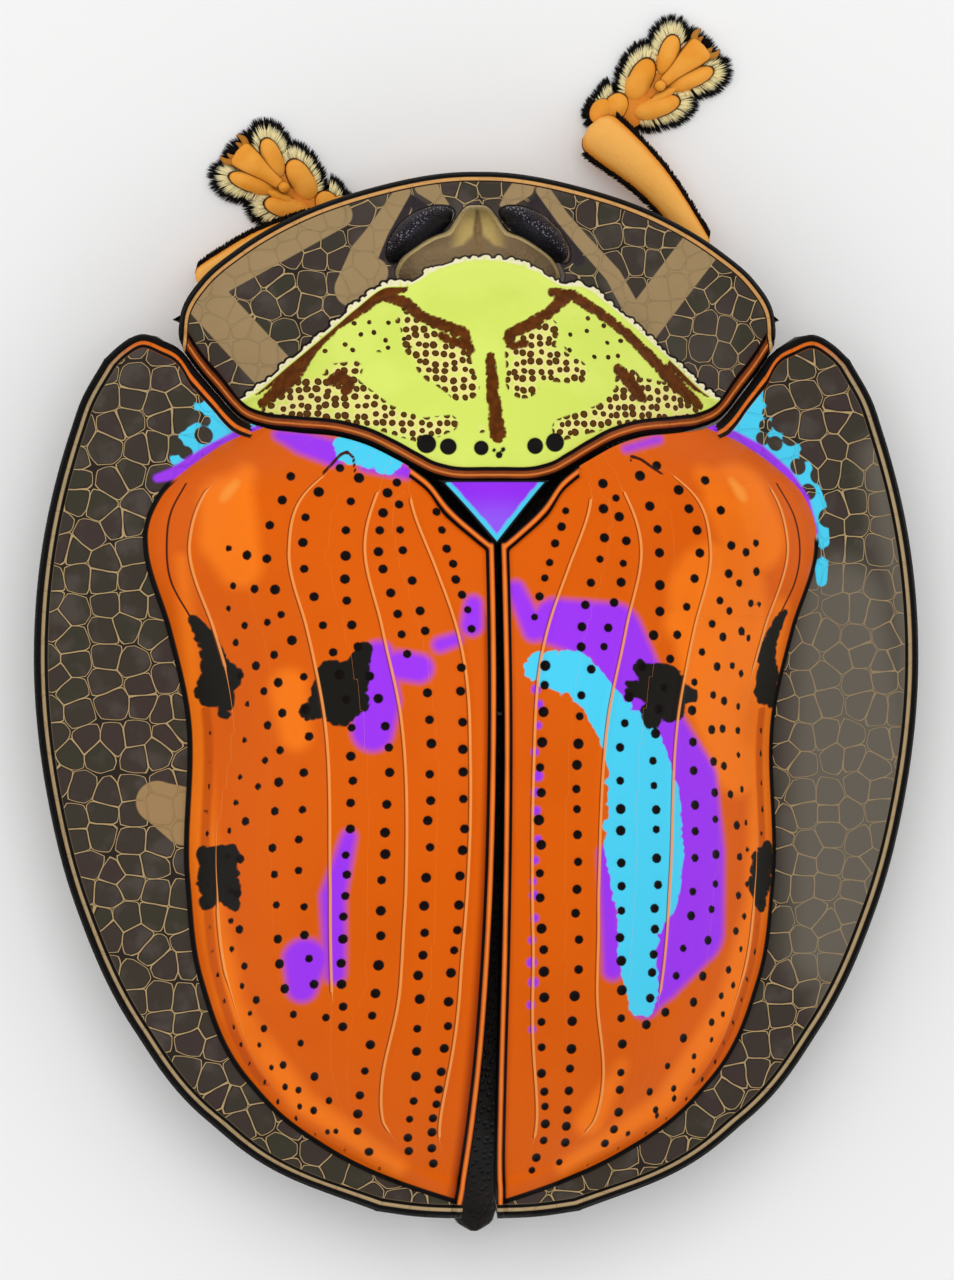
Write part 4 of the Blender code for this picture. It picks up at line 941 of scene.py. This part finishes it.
def tufts(name, roots, ways, lengths, widths, places, material, droop=0.12):
    # Tapered three-sided hairs; their OFBake map keeps each hair in a small patch at its root's place.
    count = len(roots)
    ways = ways / np.linalg.norm(ways, axis=1, keepdims=True)
    side = np.cross(ways, (0.31, 0.17, 0.94))
    side /= np.linalg.norm(side, axis=1, keepdims=True)
    other = np.cross(ways, side)
    points = np.zeros((count, 7, 3))
    for k in range(3):
        turn = 2 * np.pi * k / 3
        out = side * math.cos(turn) + other * math.sin(turn)
        points[:, k] = roots - 0.03 * ways + out * widths[:, None]
        points[:, k + 3] = roots + ways * (0.55 * lengths)[:, None] + out * (0.75 * widths)[:, None]
        points[:, k + 3, 2] -= 0.3 * droop * lengths
    points[:, 6] = roots + ways * lengths[:, None]
    points[:, 6, 2] -= droop * lengths
    points[:, :, 2] = np.maximum(points[:, :, 2], 0.004)
    one = [(0, 1, 4, 3), (1, 2, 5, 4), (2, 0, 3, 5), (3, 4, 6), (4, 5, 6), (5, 3, 6), (2, 1, 0)]
    faces = [tuple(7 * n + i for i in face) for n in range(count) for face in one]
    tip = np.tile([0, 0, 0, 0.55, 0.55, 0.55, 1.0], count)
    made = piece(name, points.reshape(-1, 3), faces, material, None, {"tip": tip})
    patch = np.array([(0, 0), (0.0015, 0), (0.003, 0), (0, 0.0015), (0.0015, 0.0015), (0.003, 0.0015),
                      (0.0015, 0.003)])
    spots = (np.asarray(places)[:, None] * 0.99 + patch[None]).reshape(-1, 2)
    loops = np.zeros(len(made.data.loops), int)
    made.data.loops.foreach_get("vertex_index", loops)
    made.data.uv_layers.new(name="OFBake").data.foreach_set("uv", spots[loops].astype(np.float32).ravel())
    return made


def headFinish():
    finish = Finish("headFinish")
    ridge = finish.field("ridge")
    furrow = finish.field("furrow")
    colour = finish.mix(paint(172, 144, 104), paint(156, 130, 94), finish.noise(0.5).over(0.5, 0.15))
    colour = finish.mix(colour, paint(244, 210, 128), finish.field("frons").over(0.0, 0.14) * 0.9)
    colour = finish.mix(colour, paint(168, 138, 92), furrow.over(0.0, 0.03))
    # A painted highlight along the ridge just inside the head's outline, then its black outline.
    colour = finish.mix(colour, paint(250, 222, 156), ridge.between(0.028, 0.095, 0.014))
    colour = finish.mix(colour, paint(18, 14, 12), ridge.under(0.024, 0.008))
    finish.bump(finish.cells(0.07, "F1").under(0.3, 0.2) * -0.4 + finish.noise(0.2), 0.015)
    return finish.wear(Base_Color=colour, Roughness=0.45, Specular_IOR_Level=0.12)


def head():
    plan = headPlan
    around = np.linspace(0, 2 * np.pi, plan["columns"], endpoint=False)[None, :]
    tilt = np.linspace(-np.pi / 2, np.pi / 2, plan["rows"])[1:-1, None]
    turn = np.degrees(np.abs((around + np.pi) % (2 * np.pi) - np.pi))
    reach = headOutline(turn) * np.cos(tilt) ** 0.2
    x = plan["centre"][0] + reach * np.sin(around)
    y = plan["centre"][1] - reach * np.cos(around)
    high = np.where(tilt > 0, plan["above"], plan["below"])
    z = plan["centre"][2] + high * np.sin(tilt) + 0 * around
    ridge = headOutline(turn) - np.hypot(x, y - plan["centre"][1])
    z = z - 0.1 * np.clip((-5.3 - y) / 0.7, 0, 1) * np.clip(tilt, 0, 1)
    z += 0.05 * np.exp(-(((ridge - 0.06) / 0.035) ** 2)) * (tilt > 0)
    furrow = 0.02 + 0.12 * np.clip((y + 5.92) / 0.75, 0, 1) - np.abs(x)
    z -= 0.05 * np.clip(furrow / 0.06, 0, 1) * (tilt > 0)
    points = np.stack([x, y, z], axis=2).reshape(-1, 3)
    low = (0.0, plan["centre"][1], plan["centre"][2] - plan["below"])
    top = (0.0, plan["centre"][1], plan["centre"][2] + plan["above"] - 0.05)
    points = np.concatenate([points, [low, top]])
    faces = ringFaces(plan["columns"], plan["rows"] - 2)
    frons = 0.3 + 0.05 * np.clip(y + 5.9, 0, 1) - np.hypot(np.abs(x), 0.6 * np.clip(y + 5.55, 0, 2) ** 1.4)
    fields = {"ridge": np.append(ridge.ravel(), (0.5, 0.5)), "furrow": np.append(furrow.ravel(), (-1, 0.1)),
              "frons": np.append(frons.ravel(), (-1, -1))}
    piece("headCapsule", points, faces, headFinish(), "head", fields)


def eyes():
    finish = Finish("eyeFinish")
    eyeSheenBand = finish.field("eyeSheenBand")
    # A painted sheen on one side band of each eye, strewn with painted glints.
    facet = finish.cells(0.034, "F1", 0.35).under(0.42, 0.1)
    colour = finish.mix(paint(36, 36, 42), paint(84, 78, 96), eyeSheenBand.over(0.4, 0.3) * facet)
    glint = finish.cells(0.045, "F1", 1.0).under(0.2, 0.05)
    glint = glint * eyeSheenBand.over(0.5, 0.12) * finish.noise(0.14).over(0.48, 0.05)
    colour = finish.mix(colour, paint(226, 226, 238), glint)
    colour = finish.mix(colour, paint(12, 10, 12), finish.field("brink").under(0.05, 0.02))
    finish.bump(facet, 0.006)
    finish.wear(Base_Color=colour, Roughness=0.34, Specular_IOR_Level=0.2)
    for side, word in ((1, "Left"), (-1, "Right")):
        x, y, z = eyePlan["centre"]
        long, wide, high = eyePlan["radii"]
        points, faces, _ = roundForm((0, 0, 0), (long, wide, high), 0, 84, 56, 0.92)
        share = np.hypot(points[:, 0] / long, points[:, 1] / wide)
        eyeSheenBand = 1 - np.abs(points[:, 1] / wide + 0.42) / 0.6 - 0.3 * np.clip(share - 0.8, 0, 1)
        points[:, 1] += eyePlan["bend"] * points[:, 0] ** 2
        across, ahead = spun(points[:, 0], points[:, 1], math.radians(eyePlan["turn"]))
        turned = np.stack([(across + x) * side, ahead + y, points[:, 2] + z], axis=1)
        piece("eye" + word, turned, faces, finish.material, "eye_" + word.lower(),
              {"eyeSheenBand": eyeSheenBand, "brink": 1 - share})


def mouth():
    finish = Finish("mouthFinish")
    tip = finish.field("height")
    # The colour darkens towards the underside of each part, following the height field.
    colour = finish.mix(paint(150, 96, 44), paint(64, 34, 18), tip.under(-0.2, 0.4))
    colour = finish.mix(colour, paint(196, 140, 74), finish.noise(0.2).over(0.55, 0.1) * 0.5)
    finish.bump(finish.noise(0.06), 0.01)
    finish.wear(Base_Color=colour, Roughness=0.45, Specular_IOR_Level=0.15)
    forms = [roundForm((0, -5.42, 0.4), (0.3, 0.2, 0.15), 0, 40, 24, 0.8)]
    for side in (-1, 1):
        forms.append(roundForm((side * 0.2, -5.25, 0.37), (0.19, 0.27, 0.15), side * 18, 36, 24, 0.85))
        palp = loft([(side * 0.3, -5.0, 0.45), (side * 0.45, -5.15, 0.34), (side * 0.5, -5.34, 0.28)],
                    [(0, 0.09, 0.09), (0.5, 0.11, 0.1), (1, 0.07, 0.07)], 30, 16, 0.3, 3)
        forms.append(palp[:3])
        forms.append(roundForm((side * 0.1, -5.52, 0.3), (0.07, 0.12, 0.06), side * 10, 20, 12))
    points, faces, height = together(*forms)
    piece("mouthParts", points, faces, finish.material, "mouthparts", {"height": height})


antennaPlan = {
    "Left": ((0.36, -5.94, 0.9), (0.55, -6.16, 0.86), (0.8, -6.24, 0.8), (0.98, -6.2, 0.56),
             (1.3, -5.7, 0.42),
             (2.0, -4.5, 0.4)),
    "Right": ((-0.36, -5.94, 0.9), (-0.53, -6.18, 0.86), (-0.76, -6.26, 0.8), (-0.95, -6.22, 0.56),
              (-1.36, -5.75, 0.42), (-2.42, -4.42, 0.4)),
}


def hairRoots(frame, count, draw, first=0.05, last=0.95):
    share = draw.uniform(first, last, count)
    turn = draw.uniform(0, 2 * np.pi, count)
    rings = len(frame["line"])
    at = share * (rings - 1)
    i = np.minimum(at.astype(int), rings - 2)
    t = (at - i)[:, None]
    pick = {key: frame[key][i] * (1 - t) + frame[key][i + 1] * t
            for key in ("line", "across", "above", "ahead")}
    wide = frame["wide"][i] * (1 - t[:, 0]) + frame["wide"][i + 1] * t[:, 0]
    high = frame["high"][i] * (1 - t[:, 0]) + frame["high"][i + 1] * t[:, 0]
    out = pick["across"] * np.cos(turn)[:, None] + pick["above"] * np.sin(turn)[:, None]
    root = pick["line"] + pick["across"] * (wide * np.cos(turn))[:, None]
    root = root + pick["above"] * (high * np.sin(turn))[:, None]
    places = np.stack([share, turn / (2 * np.pi)], axis=1)
    return root, out, pick["ahead"], places


def antennae(hairFinish):
    finish = Finish("antennaFinish")
    along = finish.field("along")
    colour = finish.mix(paint(226, 150, 62), paint(96, 56, 24), along.over(0.62, 0.2))
    colour = finish.mix(colour, paint(150, 88, 34), finish.noise(0.25).over(0.5, 0.12) * 0.6)
    finish.bump(finish.noise(0.05), 0.01)
    finish.wear(Base_Color=colour, Roughness=0.5, Specular_IOR_Level=0.15)
    draw = np.random.default_rng(3)
    for word, points in antennaPlan.items():
        stalk = [(0, 0.16, 0.16), (0.3, 0.2, 0.2), (0.6, 0.2, 0.2), (1, 0.15, 0.15)]
        made = loft(points[:3], stalk, 40, 24, 0.22, 2)
        piece("antennaStalk" + word, made[0], made[1], finish.material, "antenna_base_" + word.lower(),
              {"along": made[2] * 0.2})
        whip = [(0, 0.13, 0.12), (0.4, 0.2, 0.17), (0.8, 0.26, 0.22), (1, 0.2, 0.17)]
        made = loft(points[2:], whip, 129, 24, 0.4, 8)
        piece("antennaBeads" + word, made[0], made[1], finish.material, "antenna_" + word.lower(),
              {"along": made[2]})
        root, out, ahead, places = hairRoots(made[3], 420, draw)
        lengths = draw.uniform(0.06, 0.12, len(root))
        tufts("antennaHairs" + word, root, out * 0.7 + ahead, lengths, np.full(len(root), 0.006), places,
              hairFinish)
    print("antennae made")


def hairFinishOf(name, root, tip, turnsAt):
    finish = Finish(name)
    along = finish.field("tip") + 0.3 * finish.noise(0.2) - 0.15
    finish.bump(finish.noise(0.03), 0.002)
    return finish.wear(Base_Color=finish.mix(root, tip, along.over(turnsAt, 0.15)), Roughness=0.55,
                       Specular_IOR_Level=0.1)


palestHair = hairFinishOf("paleHair", paint(255, 240, 184), paint(255, 246, 204), 0.9)
darkHair = hairFinishOf("darkHair", paint(40, 26, 14), paint(14, 10, 8), 0.4)
head()
eyes()
mouth()
antennae(palestHair)
print("head, eyes and mouth made")


# Hip, knee, start and end of the tibia, then heel and claws on the floor.
legPlan = {
    "front_leg_left": ((1.48, -3.55, 1.45), (4.0, -4.6, 0.88), (3.96, -4.98, 0.6), (2.12, -5.58, 0.56),
                       (1.8, -5.95), (3.46, -6.84)),
    "front_leg_right": ((-1.42, -3.62, 1.45), (-3.18, -5.16, 0.8), (-3.38, -5.38, 0.58), (-1.7, -7.14, 0.46),
                        (-1.84, -7.34), (-3.46, -8.38)),
    "middle_leg_left": ((1.48, -1.75, 1.42), (3.46, -2.62, 0.98), (3.7, -2.36, 0.78), (3.82, -0.4, 0.44),
                        (3.72, -0.26), (3.72, 1.58)),
    "middle_leg_right": ((-1.48, -1.75, 1.42), (-3.46, -2.5, 0.98), (-3.7, -2.24, 0.78), (-3.76, -0.3, 0.44),
                         (-3.66, -0.16), (-3.56, 1.66)),
    "hind_leg_left": ((1.46, 0.42, 1.42), (4.66, 2.44, 1.02), (4.62, 2.74, 0.82), (3.44, 4.64, 0.44),
                      (3.28, 4.85), (2.7, 6.62)),
    "hind_leg_right": ((-1.46, 0.42, 1.42), (-3.98, 2.18, 1.0), (-3.98, 2.46, 0.8), (-3.36, 4.44, 0.44),
                       (-3.24, 4.66), (-2.86, 6.46)),
}
femurShape = [(0, 0.2, 0.18), (0.1, 0.27, 0.24), (0.3, 0.34, 0.28), (0.58, 0.38, 0.3), (0.84, 0.32, 0.26),
              (1, 0.24, 0.21)]
tibiaShape = [(0, 0.16, 0.16), (0.1, 0.18, 0.18), (0.34, 0.22, 0.2), (0.6, 0.28, 0.23), (0.86, 0.34, 0.25),
              (1, 0.34, 0.22)]
tibiaBow = -0.04
# A foot lies in the frame of its middle knob: along it to the claws, aside to its front edge.
footPlan = {
    "length": 1.9, "knob": (0.93, 0.16), "fringe": (0.17, 0.25), "creamHairs": 170, "darkHairs": 330,
    "lobes": ((0.39, 0.24, 0.32, 0.155, 31), (0.41, -0.23, 0.36, 0.14, -19), (-0.13, 0.25, 0.34, 0.185, 22),
              (-0.22, -0.2, 0.36, 0.16, -24), (-0.69, 0.19, 0.26, 0.18, 14)),
    "pads": ((-0.05, -0.13, 0.23, 0.07, -12, 0.24), (0.05, 0.02, 0.5, 0.26, 4, 0.13),
             (-0.45, 0.04, 0.4, 0.26, 8, 0.14),
             (-0.86, 0.28, 0.2, 0.17, 20, 0.26), (0.0, 0.0, 0.085, 0.08, 0, 0.36),
             (0.55, 0.02, 0.3, 0.3, 4, 0.08)),
}


def legFinish():
    finish = Finish("legFinish")
    side = finish.field("side")
    colour = finish.mix(paint(250, 182, 90), paint(246, 172, 72), finish.noise(0.9).over(0.5, 0.15))
    # Painted shade: the flanks of each limb are darker orange, edged by a black outline line.
    colour = finish.mix(colour, paint(240, 148, 46), side.over(0.8, 0.16))
    colour = finish.mix(colour, paint(24, 12, 6), side.over(0.95, 0.012))
    finish.bump(finish.noise(0.12, 3.0), 0.01)
    return finish.wear(Base_Color=colour, Roughness=0.5, Specular_IOR_Level=0.1)


def footFinish():
    finish = Finish("footFinish")
    colour = finish.mix(paint(236, 152, 46), paint(246, 168, 66), finish.noise(0.4).over(0.5, 0.2))
    colour = finish.mix(colour, paint(226, 134, 40), finish.field("low").over(0.5, 0.3) * 0.8)
    colour = finish.mix(colour, paint(66, 26, 6), finish.field("brink").over(0.0, 0.1))
    finish.bump(finish.noise(0.09, 3.0), 0.008)
    return finish.wear(Base_Color=colour, Roughness=0.5, Specular_IOR_Level=0.1)


def foot(name, heel, toe, side, finish, draw):
    heel, toe = np.array((*heel, 0.0)), np.array((*toe, 0.0))
    chord = (toe - heel) / np.linalg.norm(toe - heel)
    size = np.linalg.norm(toe - heel) / footPlan["length"]
    alongKnob, backKnob = footPlan["knob"]
    knob = heel + (chord * alongKnob - np.array((chord[1], -chord[0], 0.0)) * side * backKnob) * size
    ahead = (toe - knob) / np.linalg.norm(toe - knob)
    front = np.array((ahead[1], -ahead[0], 0.0)) * side
    turn = math.degrees(math.atan2(ahead[1], ahead[0]))

    def at(along, aside, up):
        return knob + (ahead * along + front * aside) * size + np.array((0, 0, up))

    forms, lows = [], []

    def add(form, brink, low):
        forms.append((form[0], form[1], brink))
        lows.append(np.full(len(form[0]), low))

    for along, aside, long, wide, lean in footPlan["lobes"]:
        centre = at(along, aside, 0.2)
        angle = math.radians(turn - side * lean)
        form = roundForm(centre, (long, wide, 0.15), math.degrees(angle), 44, 28, 0.92, 0.02)
        reach = ((form[0] - centre) @ np.array((math.cos(angle), math.sin(angle), 0.0))) / long
        add(form, np.minimum(0.44 - form[2], 2.5 * reach + 0.4), 0.0)
    for along, aside, long, wide, lean, up in footPlan["pads"]:
        form = roundForm(at(along, aside, up), (long, wide, 0.11), turn - side * lean, 32, 20, 0.95, 0.0)
        brink = 0.3 - form[2] if long < 0.25 else np.full(len(form[0]), -1.0)
        add(form, brink, 0.0 if long < 0.25 else 1.0)
    claw = [(0, 0.08, 0.08), (0.3, 0.11, 0.09), (0.7, 0.19, 0.11), (1, 0.22, 0.1)]
    form = loft([at(0.04, 0, 0.28), at(0.4, 0.0, 0.3), at(0.86, 0, 0.22)], claw, 30, 24)
    add(form, form[3]["side"] - 0.9, 0.0)
    for aside in (-1, 1):
        for start, end, share in (((0.74, 0.1), (1.0, 0.2), 0.06), ((0.76, 0.05), (0.94, 0.1), 0.045)):
            hook = [at(start[0], aside * start[1], 0.22), at((start[0] + end[0]) / 2, aside * end[1], 0.2),
                    at(end[0], aside * end[1], 0.08)]
            add(loft(hook, [(0, share, share), (0.6, 0.7 * share, 0.7 * share), (1, 0.012, 0.012)], 16, 10),
                0.0, 0.0)
    forms = [(points, faces, values * np.ones(len(points))) for points, faces, values in forms]
    points, faces, brink = together(*forms)
    piece(name, points, faces, finish, name.replace("Foot", "tarsus"),
          {"brink": brink, "low": np.concatenate(lows)})

    # Hairs stand out from the free edges of the lobes, and dark ones close the outline.
    cream, dark = [], []
    for k, (along, aside, long, wide, lean) in enumerate(footPlan["lobes"]):
        angle = math.radians(turn - side * lean)
        outer = side * math.copysign(1.0, -aside)
        for n in range(footPlan["creamHairs"] + footPlan["darkHairs"]):
            isCream = n < footPlan["creamHairs"]
            t = draw.uniform(-1.5, 1.5) if draw.uniform() < 0.6 else outer * draw.uniform(0.2, 2.7)
            if k == 4 and (outer * t < 0.9 or isCream and draw.uniform() < 0.5):
                continue
            local = (long * math.cos(t), wide * math.sin(t))
            way = np.array((math.cos(t) / long + 2.2, math.sin(t) / wide * (1.0 if outer * t > 0 else 0.3)))
            way /= np.linalg.norm(way)
            turned = [spun(*v, angle) for v in (local, way)]
            height = draw.uniform(0.14, 0.22) if isCream else draw.uniform(0.04, 0.14)
            root = at(along, aside, height) + 0.9 * np.array((*turned[0], 0.0))
            low, high = footPlan["fringe"]
            length = draw.uniform(low, high) * (0.66 + 0.34 * max(0.0, math.cos(t)))
            length += 0.0 if isCream else 0.1
            place = ((k + (t + math.pi) / (2 * math.pi)) / 5, height)
            heading = (*turned[1], draw.uniform(-0.08, 0.04))
            (cream if isCream else dark).append((root, heading, length, place))
    for k, (along, aside, long, wide, lean, up) in enumerate(footPlan["pads"]):
        angle = math.radians(turn - side * lean)
        for n in range(220 if up < 0.25 or lean > 15 else 0):
            t = draw.uniform(0.4, 2 * math.pi - 0.4)
            way = np.array((*spun(math.cos(t), math.sin(t), angle), 0.0))
            out = np.array((*spun(long * math.cos(t), wide * math.sin(t), angle), 0.0))
            root = at(along, aside, draw.uniform(0.03, 0.16)) + 0.9 * out
            dark.append((root, way + 0.4 * ahead, draw.uniform(0.08, 0.15),
                         (draw.uniform(), draw.uniform(0.0, 0.3))))
    for n in range(footPlan["darkHairs"]):
        aside = draw.uniform(-0.24, 0.24)
        root = at(0.7 - 0.25 * abs(aside), aside, draw.uniform(0.03, 0.12))
        way = ahead + front * aside * 1.2
        dark.append((root, way, draw.uniform(0.24, 0.36), (draw.uniform(), draw.uniform(0.3, 1.0))))
    return cream, dark


def hairList(name, hairs, width, material):
    roots, ways, lengths, places = (np.array([hair[k] for hair in hairs]) for k in range(4))
    tufts(name, roots, ways, lengths, np.full(len(roots), width), places, material)


def limbHairs(frame, count, draw):  # they stand along its two edges, as a dark seam of bristles
    root, out, ahead, places = hairRoots(frame, count, draw, 0.05, 0.91)
    side = np.abs(np.sum(out * frame["across"].mean(axis=0), axis=1))
    keep = side > 0.93
    return root[keep], out[keep], ahead[keep], places[keep]


def legs():
    limbFinish, lobeFinish = legFinish(), footFinish()
    draw = np.random.default_rng(11)
    for name, (hip, knee, bend, ankle, heel, toe) in legPlan.items():
        hip, knee, bend, ankle = (np.array(p) for p in (hip, knee, bend, ankle))
        side = 1 if hip[0] > 0 else -1
        joined = knee + 0.2 * (bend - knee)
        started = bend + 0.2 * (knee - bend)
        femur = loft([hip, (hip + knee) / 2 + (0, 0, 0.04), joined], femurShape, 44, 28)
        piece(name + "_Femur", femur[0], femur[1], limbFinish, name + "_femur",
              {"side": femur[3]["side"]})
        bow = np.cross(ankle - bend, (0, 0, side)) * tibiaBow
        tibia = loft([started, (bend + ankle) / 2 + bow * (1, 1, 0), ankle], tibiaShape, 52, 32)
        piece(name + "_Tibia", tibia[0], tibia[1], limbFinish, name + "_tibia",
              {"side": tibia[3]["side"]})
        cream, dark = foot(name + "_Foot", heel, toe, side, lobeFinish, draw)
        hairList(name + "_Fringe", cream, 0.018, palestHair)
        hairList(name + "_FringeDark", dark, 0.022, darkHair)
        coat = [limbHairs(part[3], count, draw) for part, count in ((femur, 1500), (tibia, 5200))]
        roots, out, ahead = (np.concatenate([c[k] for c in coat]) for k in range(3))
        places = np.concatenate([c[3] * (1, 0.49) + (0, 0.5 * k) for k, c in enumerate(coat)])
        lengths = draw.uniform(0.06, 0.11, len(roots))
        tufts(name + "_Hairs", roots, out + 0.8 * ahead, lengths, np.full(len(roots), 0.016), places,
              darkHair)
    print("legs made")


legs()

# The body under the shell.
bodyWidth = curve((-4.45, 1.3), (-3.8, 2.0), (-2.6, 2.4), (-1.4, 3.4), (0.6, 3.55), (3.6, 3.4), (5.6, 3.05),
                  (6.8, 2.05), (7.6, 1.05), (8.15, 0.46), (8.42, 0.3), (8.6, 0.22), (8.7, 0.05))
bellyHeight = curve((-4.4, 1.6), (-3.4, 1.42), (1.2, 1.4), (5.0, 1.3), (6.6, 1.2), (7.7, 1.0), (8.7, 0.8))
flankHeight = curve((-4.4, 1.95), (-2.0, 2.1), (3.0, 2.05), (6.0, 1.8), (7.6, 1.4), (8.6, 1.0))
bodyPlan = {"columns": 73, "thoraxRows": 91, "abdomenRows": 141, "roofGap": 1.0, "plates": 5}


def bodyFinish():
    finish = Finish("bodyFinish")
    colour = finish.mix(paint(30, 24, 20), paint(18, 15, 13), finish.noise(0.7).over(0.5, 0.15))
    colour = finish.mix(colour, paint(14, 11, 10), finish.field("seam").under(0.03, 0.015))
    pits = finish.cells(0.11, "F1", 0.8).under(0.22, 0.1)
    finish.bump(finish.noise(0.12, 3.0) * 0.6 - pits, 0.015)
    return finish.wear(Base_Color=colour, Roughness=0.42, Specular_IOR_Level=0.15)


def underPart(first, last, rows, plates):
    columns = bodyPlan["columns"]
    y = np.linspace(first, last, rows)[None, :] + np.zeros((columns, 1))
    share = np.sin(np.linspace(-0.5, 0.5, columns) * np.pi)[:, None]
    width = bodyWidth(y)
    flank = flankHeight(y)
    roof = np.where(y > -2.1, crestHeight(y), pronotumHeight(np.zeros_like(y), y)) - bodyPlan["roofGap"]
    roof = np.maximum(roof, flank + 0.12)
    x = share * width
    curl = np.sqrt(np.maximum(0.0, 1 - share**2))
    low = bellyHeight(y)
    sideLow = np.maximum(low, flank - 0.2)
    keel = np.where(y < 1.4, 1 - np.clip((np.abs(x) - 0.45) / 0.75, 0, 1), curl)
    step = np.zeros_like(y)
    if plates:
        bounds = (2.9, 4.1, 5.2, 6.2, 7.15)
        bent = y - 0.1 * share**2
        seam = np.min([np.abs(bent - b) for b in bounds], axis=0)
        for b in bounds:
            step += 0.06 / (1 + np.exp(-(bent - b) / 0.02)) - 0.054 * np.clip(bent - b, 0, 1.1)
        step = -np.clip(step, -0.1, 0.1)
    else:
        seam = np.min([np.abs(y - 0.12 * np.cos(share * 3) - b) for b in (-2.35, -0.45)], axis=0)
    top = np.stack([x, y, flank + (roof - flank) * curl**1.2], axis=2)
    under = sideLow + (low - sideLow) * keel + step * curl - 0.03 * np.exp(-((seam / 0.04) ** 2))
    edge = np.abs(share) > 0.9995
    top[:, :, 2] = np.where(edge, flank, top[:, :, 2])
    under = np.where(edge, flank - 0.18, np.minimum(under, top[:, :, 2] - 0.05))
    points = np.concatenate([top.reshape(-1, 3), np.stack([x, y, under], axis=2).reshape(-1, 3)])
    faces = shellFaces(columns, rows, 1)
    return points, faces, np.tile(seam.ravel(), 2)


def bodyParts():
    finish = bodyFinish()
    forms = [underPart(-4.4, 1.25, bodyPlan["thoraxRows"], 0)]
    plain = len(forms[0][0])
    for side in (-1, 1):
        for y in (-3.4, -1.6, 0.35):
            forms.append(roundForm((side * 0.8, y, 1.58), (0.6, 0.4, 0.4), side * 8, 40, 28))
    points, faces, seam = together(*forms)
    seam[plain:] = 1.0  # the hips carry no seam
    piece("thoraxUnder", points, faces, finish, "thorax", {"seam": seam})
    points, faces, seam = underPart(1.32, 8.7, bodyPlan["abdomenRows"], bodyPlan["plates"])
    piece("abdomenUnder", points, faces, finish, "abdomen", {"seam": seam})
    print("thorax and abdomen made")


bodyParts()


stageSetup = {
    "floorSize": 160.0, "floorColour": (0.96, 0.96, 0.96), "skyColour": (1.0, 1.0, 1.0), "sky": 0.66,
    "target": (0.0, 0.243, 1.6), "distance": 304.8, "tilt": 4.0, "lens": 600.0,
}
half = stageSetup["floorSize"] / 2
floorFinish = Finish("studioFloor")
tone = floorFinish.mix(stageSetup["floorColour"], (0.94, 0.94, 0.94), floorFinish.noise(20.0))
floorFinish.wear(Base_Color=tone, Roughness=0.9)
floorMesh = bpy.data.meshes.new("studioFloor")
corners = [(-half, -half), (half, -half), (half, half), (-half, half)]
floorMesh.from_pydata([(x * mm, y * mm, 0) for x, y in corners], [], [(0, 1, 2, 3)])
floorMesh.materials.append(floorFinish.material)
studioFloor = bpy.data.objects.new("studioFloor", floorMesh)
bpy.context.scene.collection.objects.link(studioFloor)

lamps = {  # place and size in millimetres, power in watts
    "overhead": ((15.0, -35.0, 170.0), 150.0, 0.1),
    "leftSide": ((120.0, 0.0, 80.0), 90.0, 0.012),
    "rightSide": ((-120.0, 0.0, 80.0), 90.0, 0.01),
}
for name, (place, size, power) in lamps.items():
    lamp = bpy.data.lights.new(name, "AREA")
    lamp.size = size * mm
    lamp.energy = power
    made = bpy.data.objects.new(name, lamp)
    made.location = Vector(place) * mm
    made.rotation_mode = "QUATERNION"
    made.rotation_quaternion = (-made.location).to_track_quat("-Z", "Y")
    bpy.context.scene.collection.objects.link(made)

world = bpy.data.worlds.new("studioSky")
bpy.context.scene.world = world
world.use_nodes = True
world.node_tree.nodes["Background"].inputs["Color"].default_value = (*stageSetup["skyColour"], 1.0)
world.node_tree.nodes["Background"].inputs["Strength"].default_value = stageSetup["sky"]
bpy.context.scene.view_settings.view_transform = "Standard"

lens = bpy.data.cameras.new("overheadCamera")
lens.lens = stageSetup["lens"]
lens.sensor_width = 36.0
lens.clip_start = 0.01
lens.clip_end = 10.0
camera = bpy.data.objects.new("overheadCamera", lens)
bpy.context.scene.collection.objects.link(camera)
tilt = math.radians(stageSetup["tilt"])
back = Vector((math.sin(tilt), 0.0, math.cos(tilt)))
up = Vector((0.0, -1.0, 0.0))
turned = Matrix((up.cross(back), up, back)).transposed().to_4x4()
viewpoint = (Vector(stageSetup["target"]) + back * stageSetup["distance"]) * mm
camera.matrix_world = Matrix.Translation(viewpoint) @ turned
bpy.context.scene.camera = camera
print("floor, lamps and camera set")
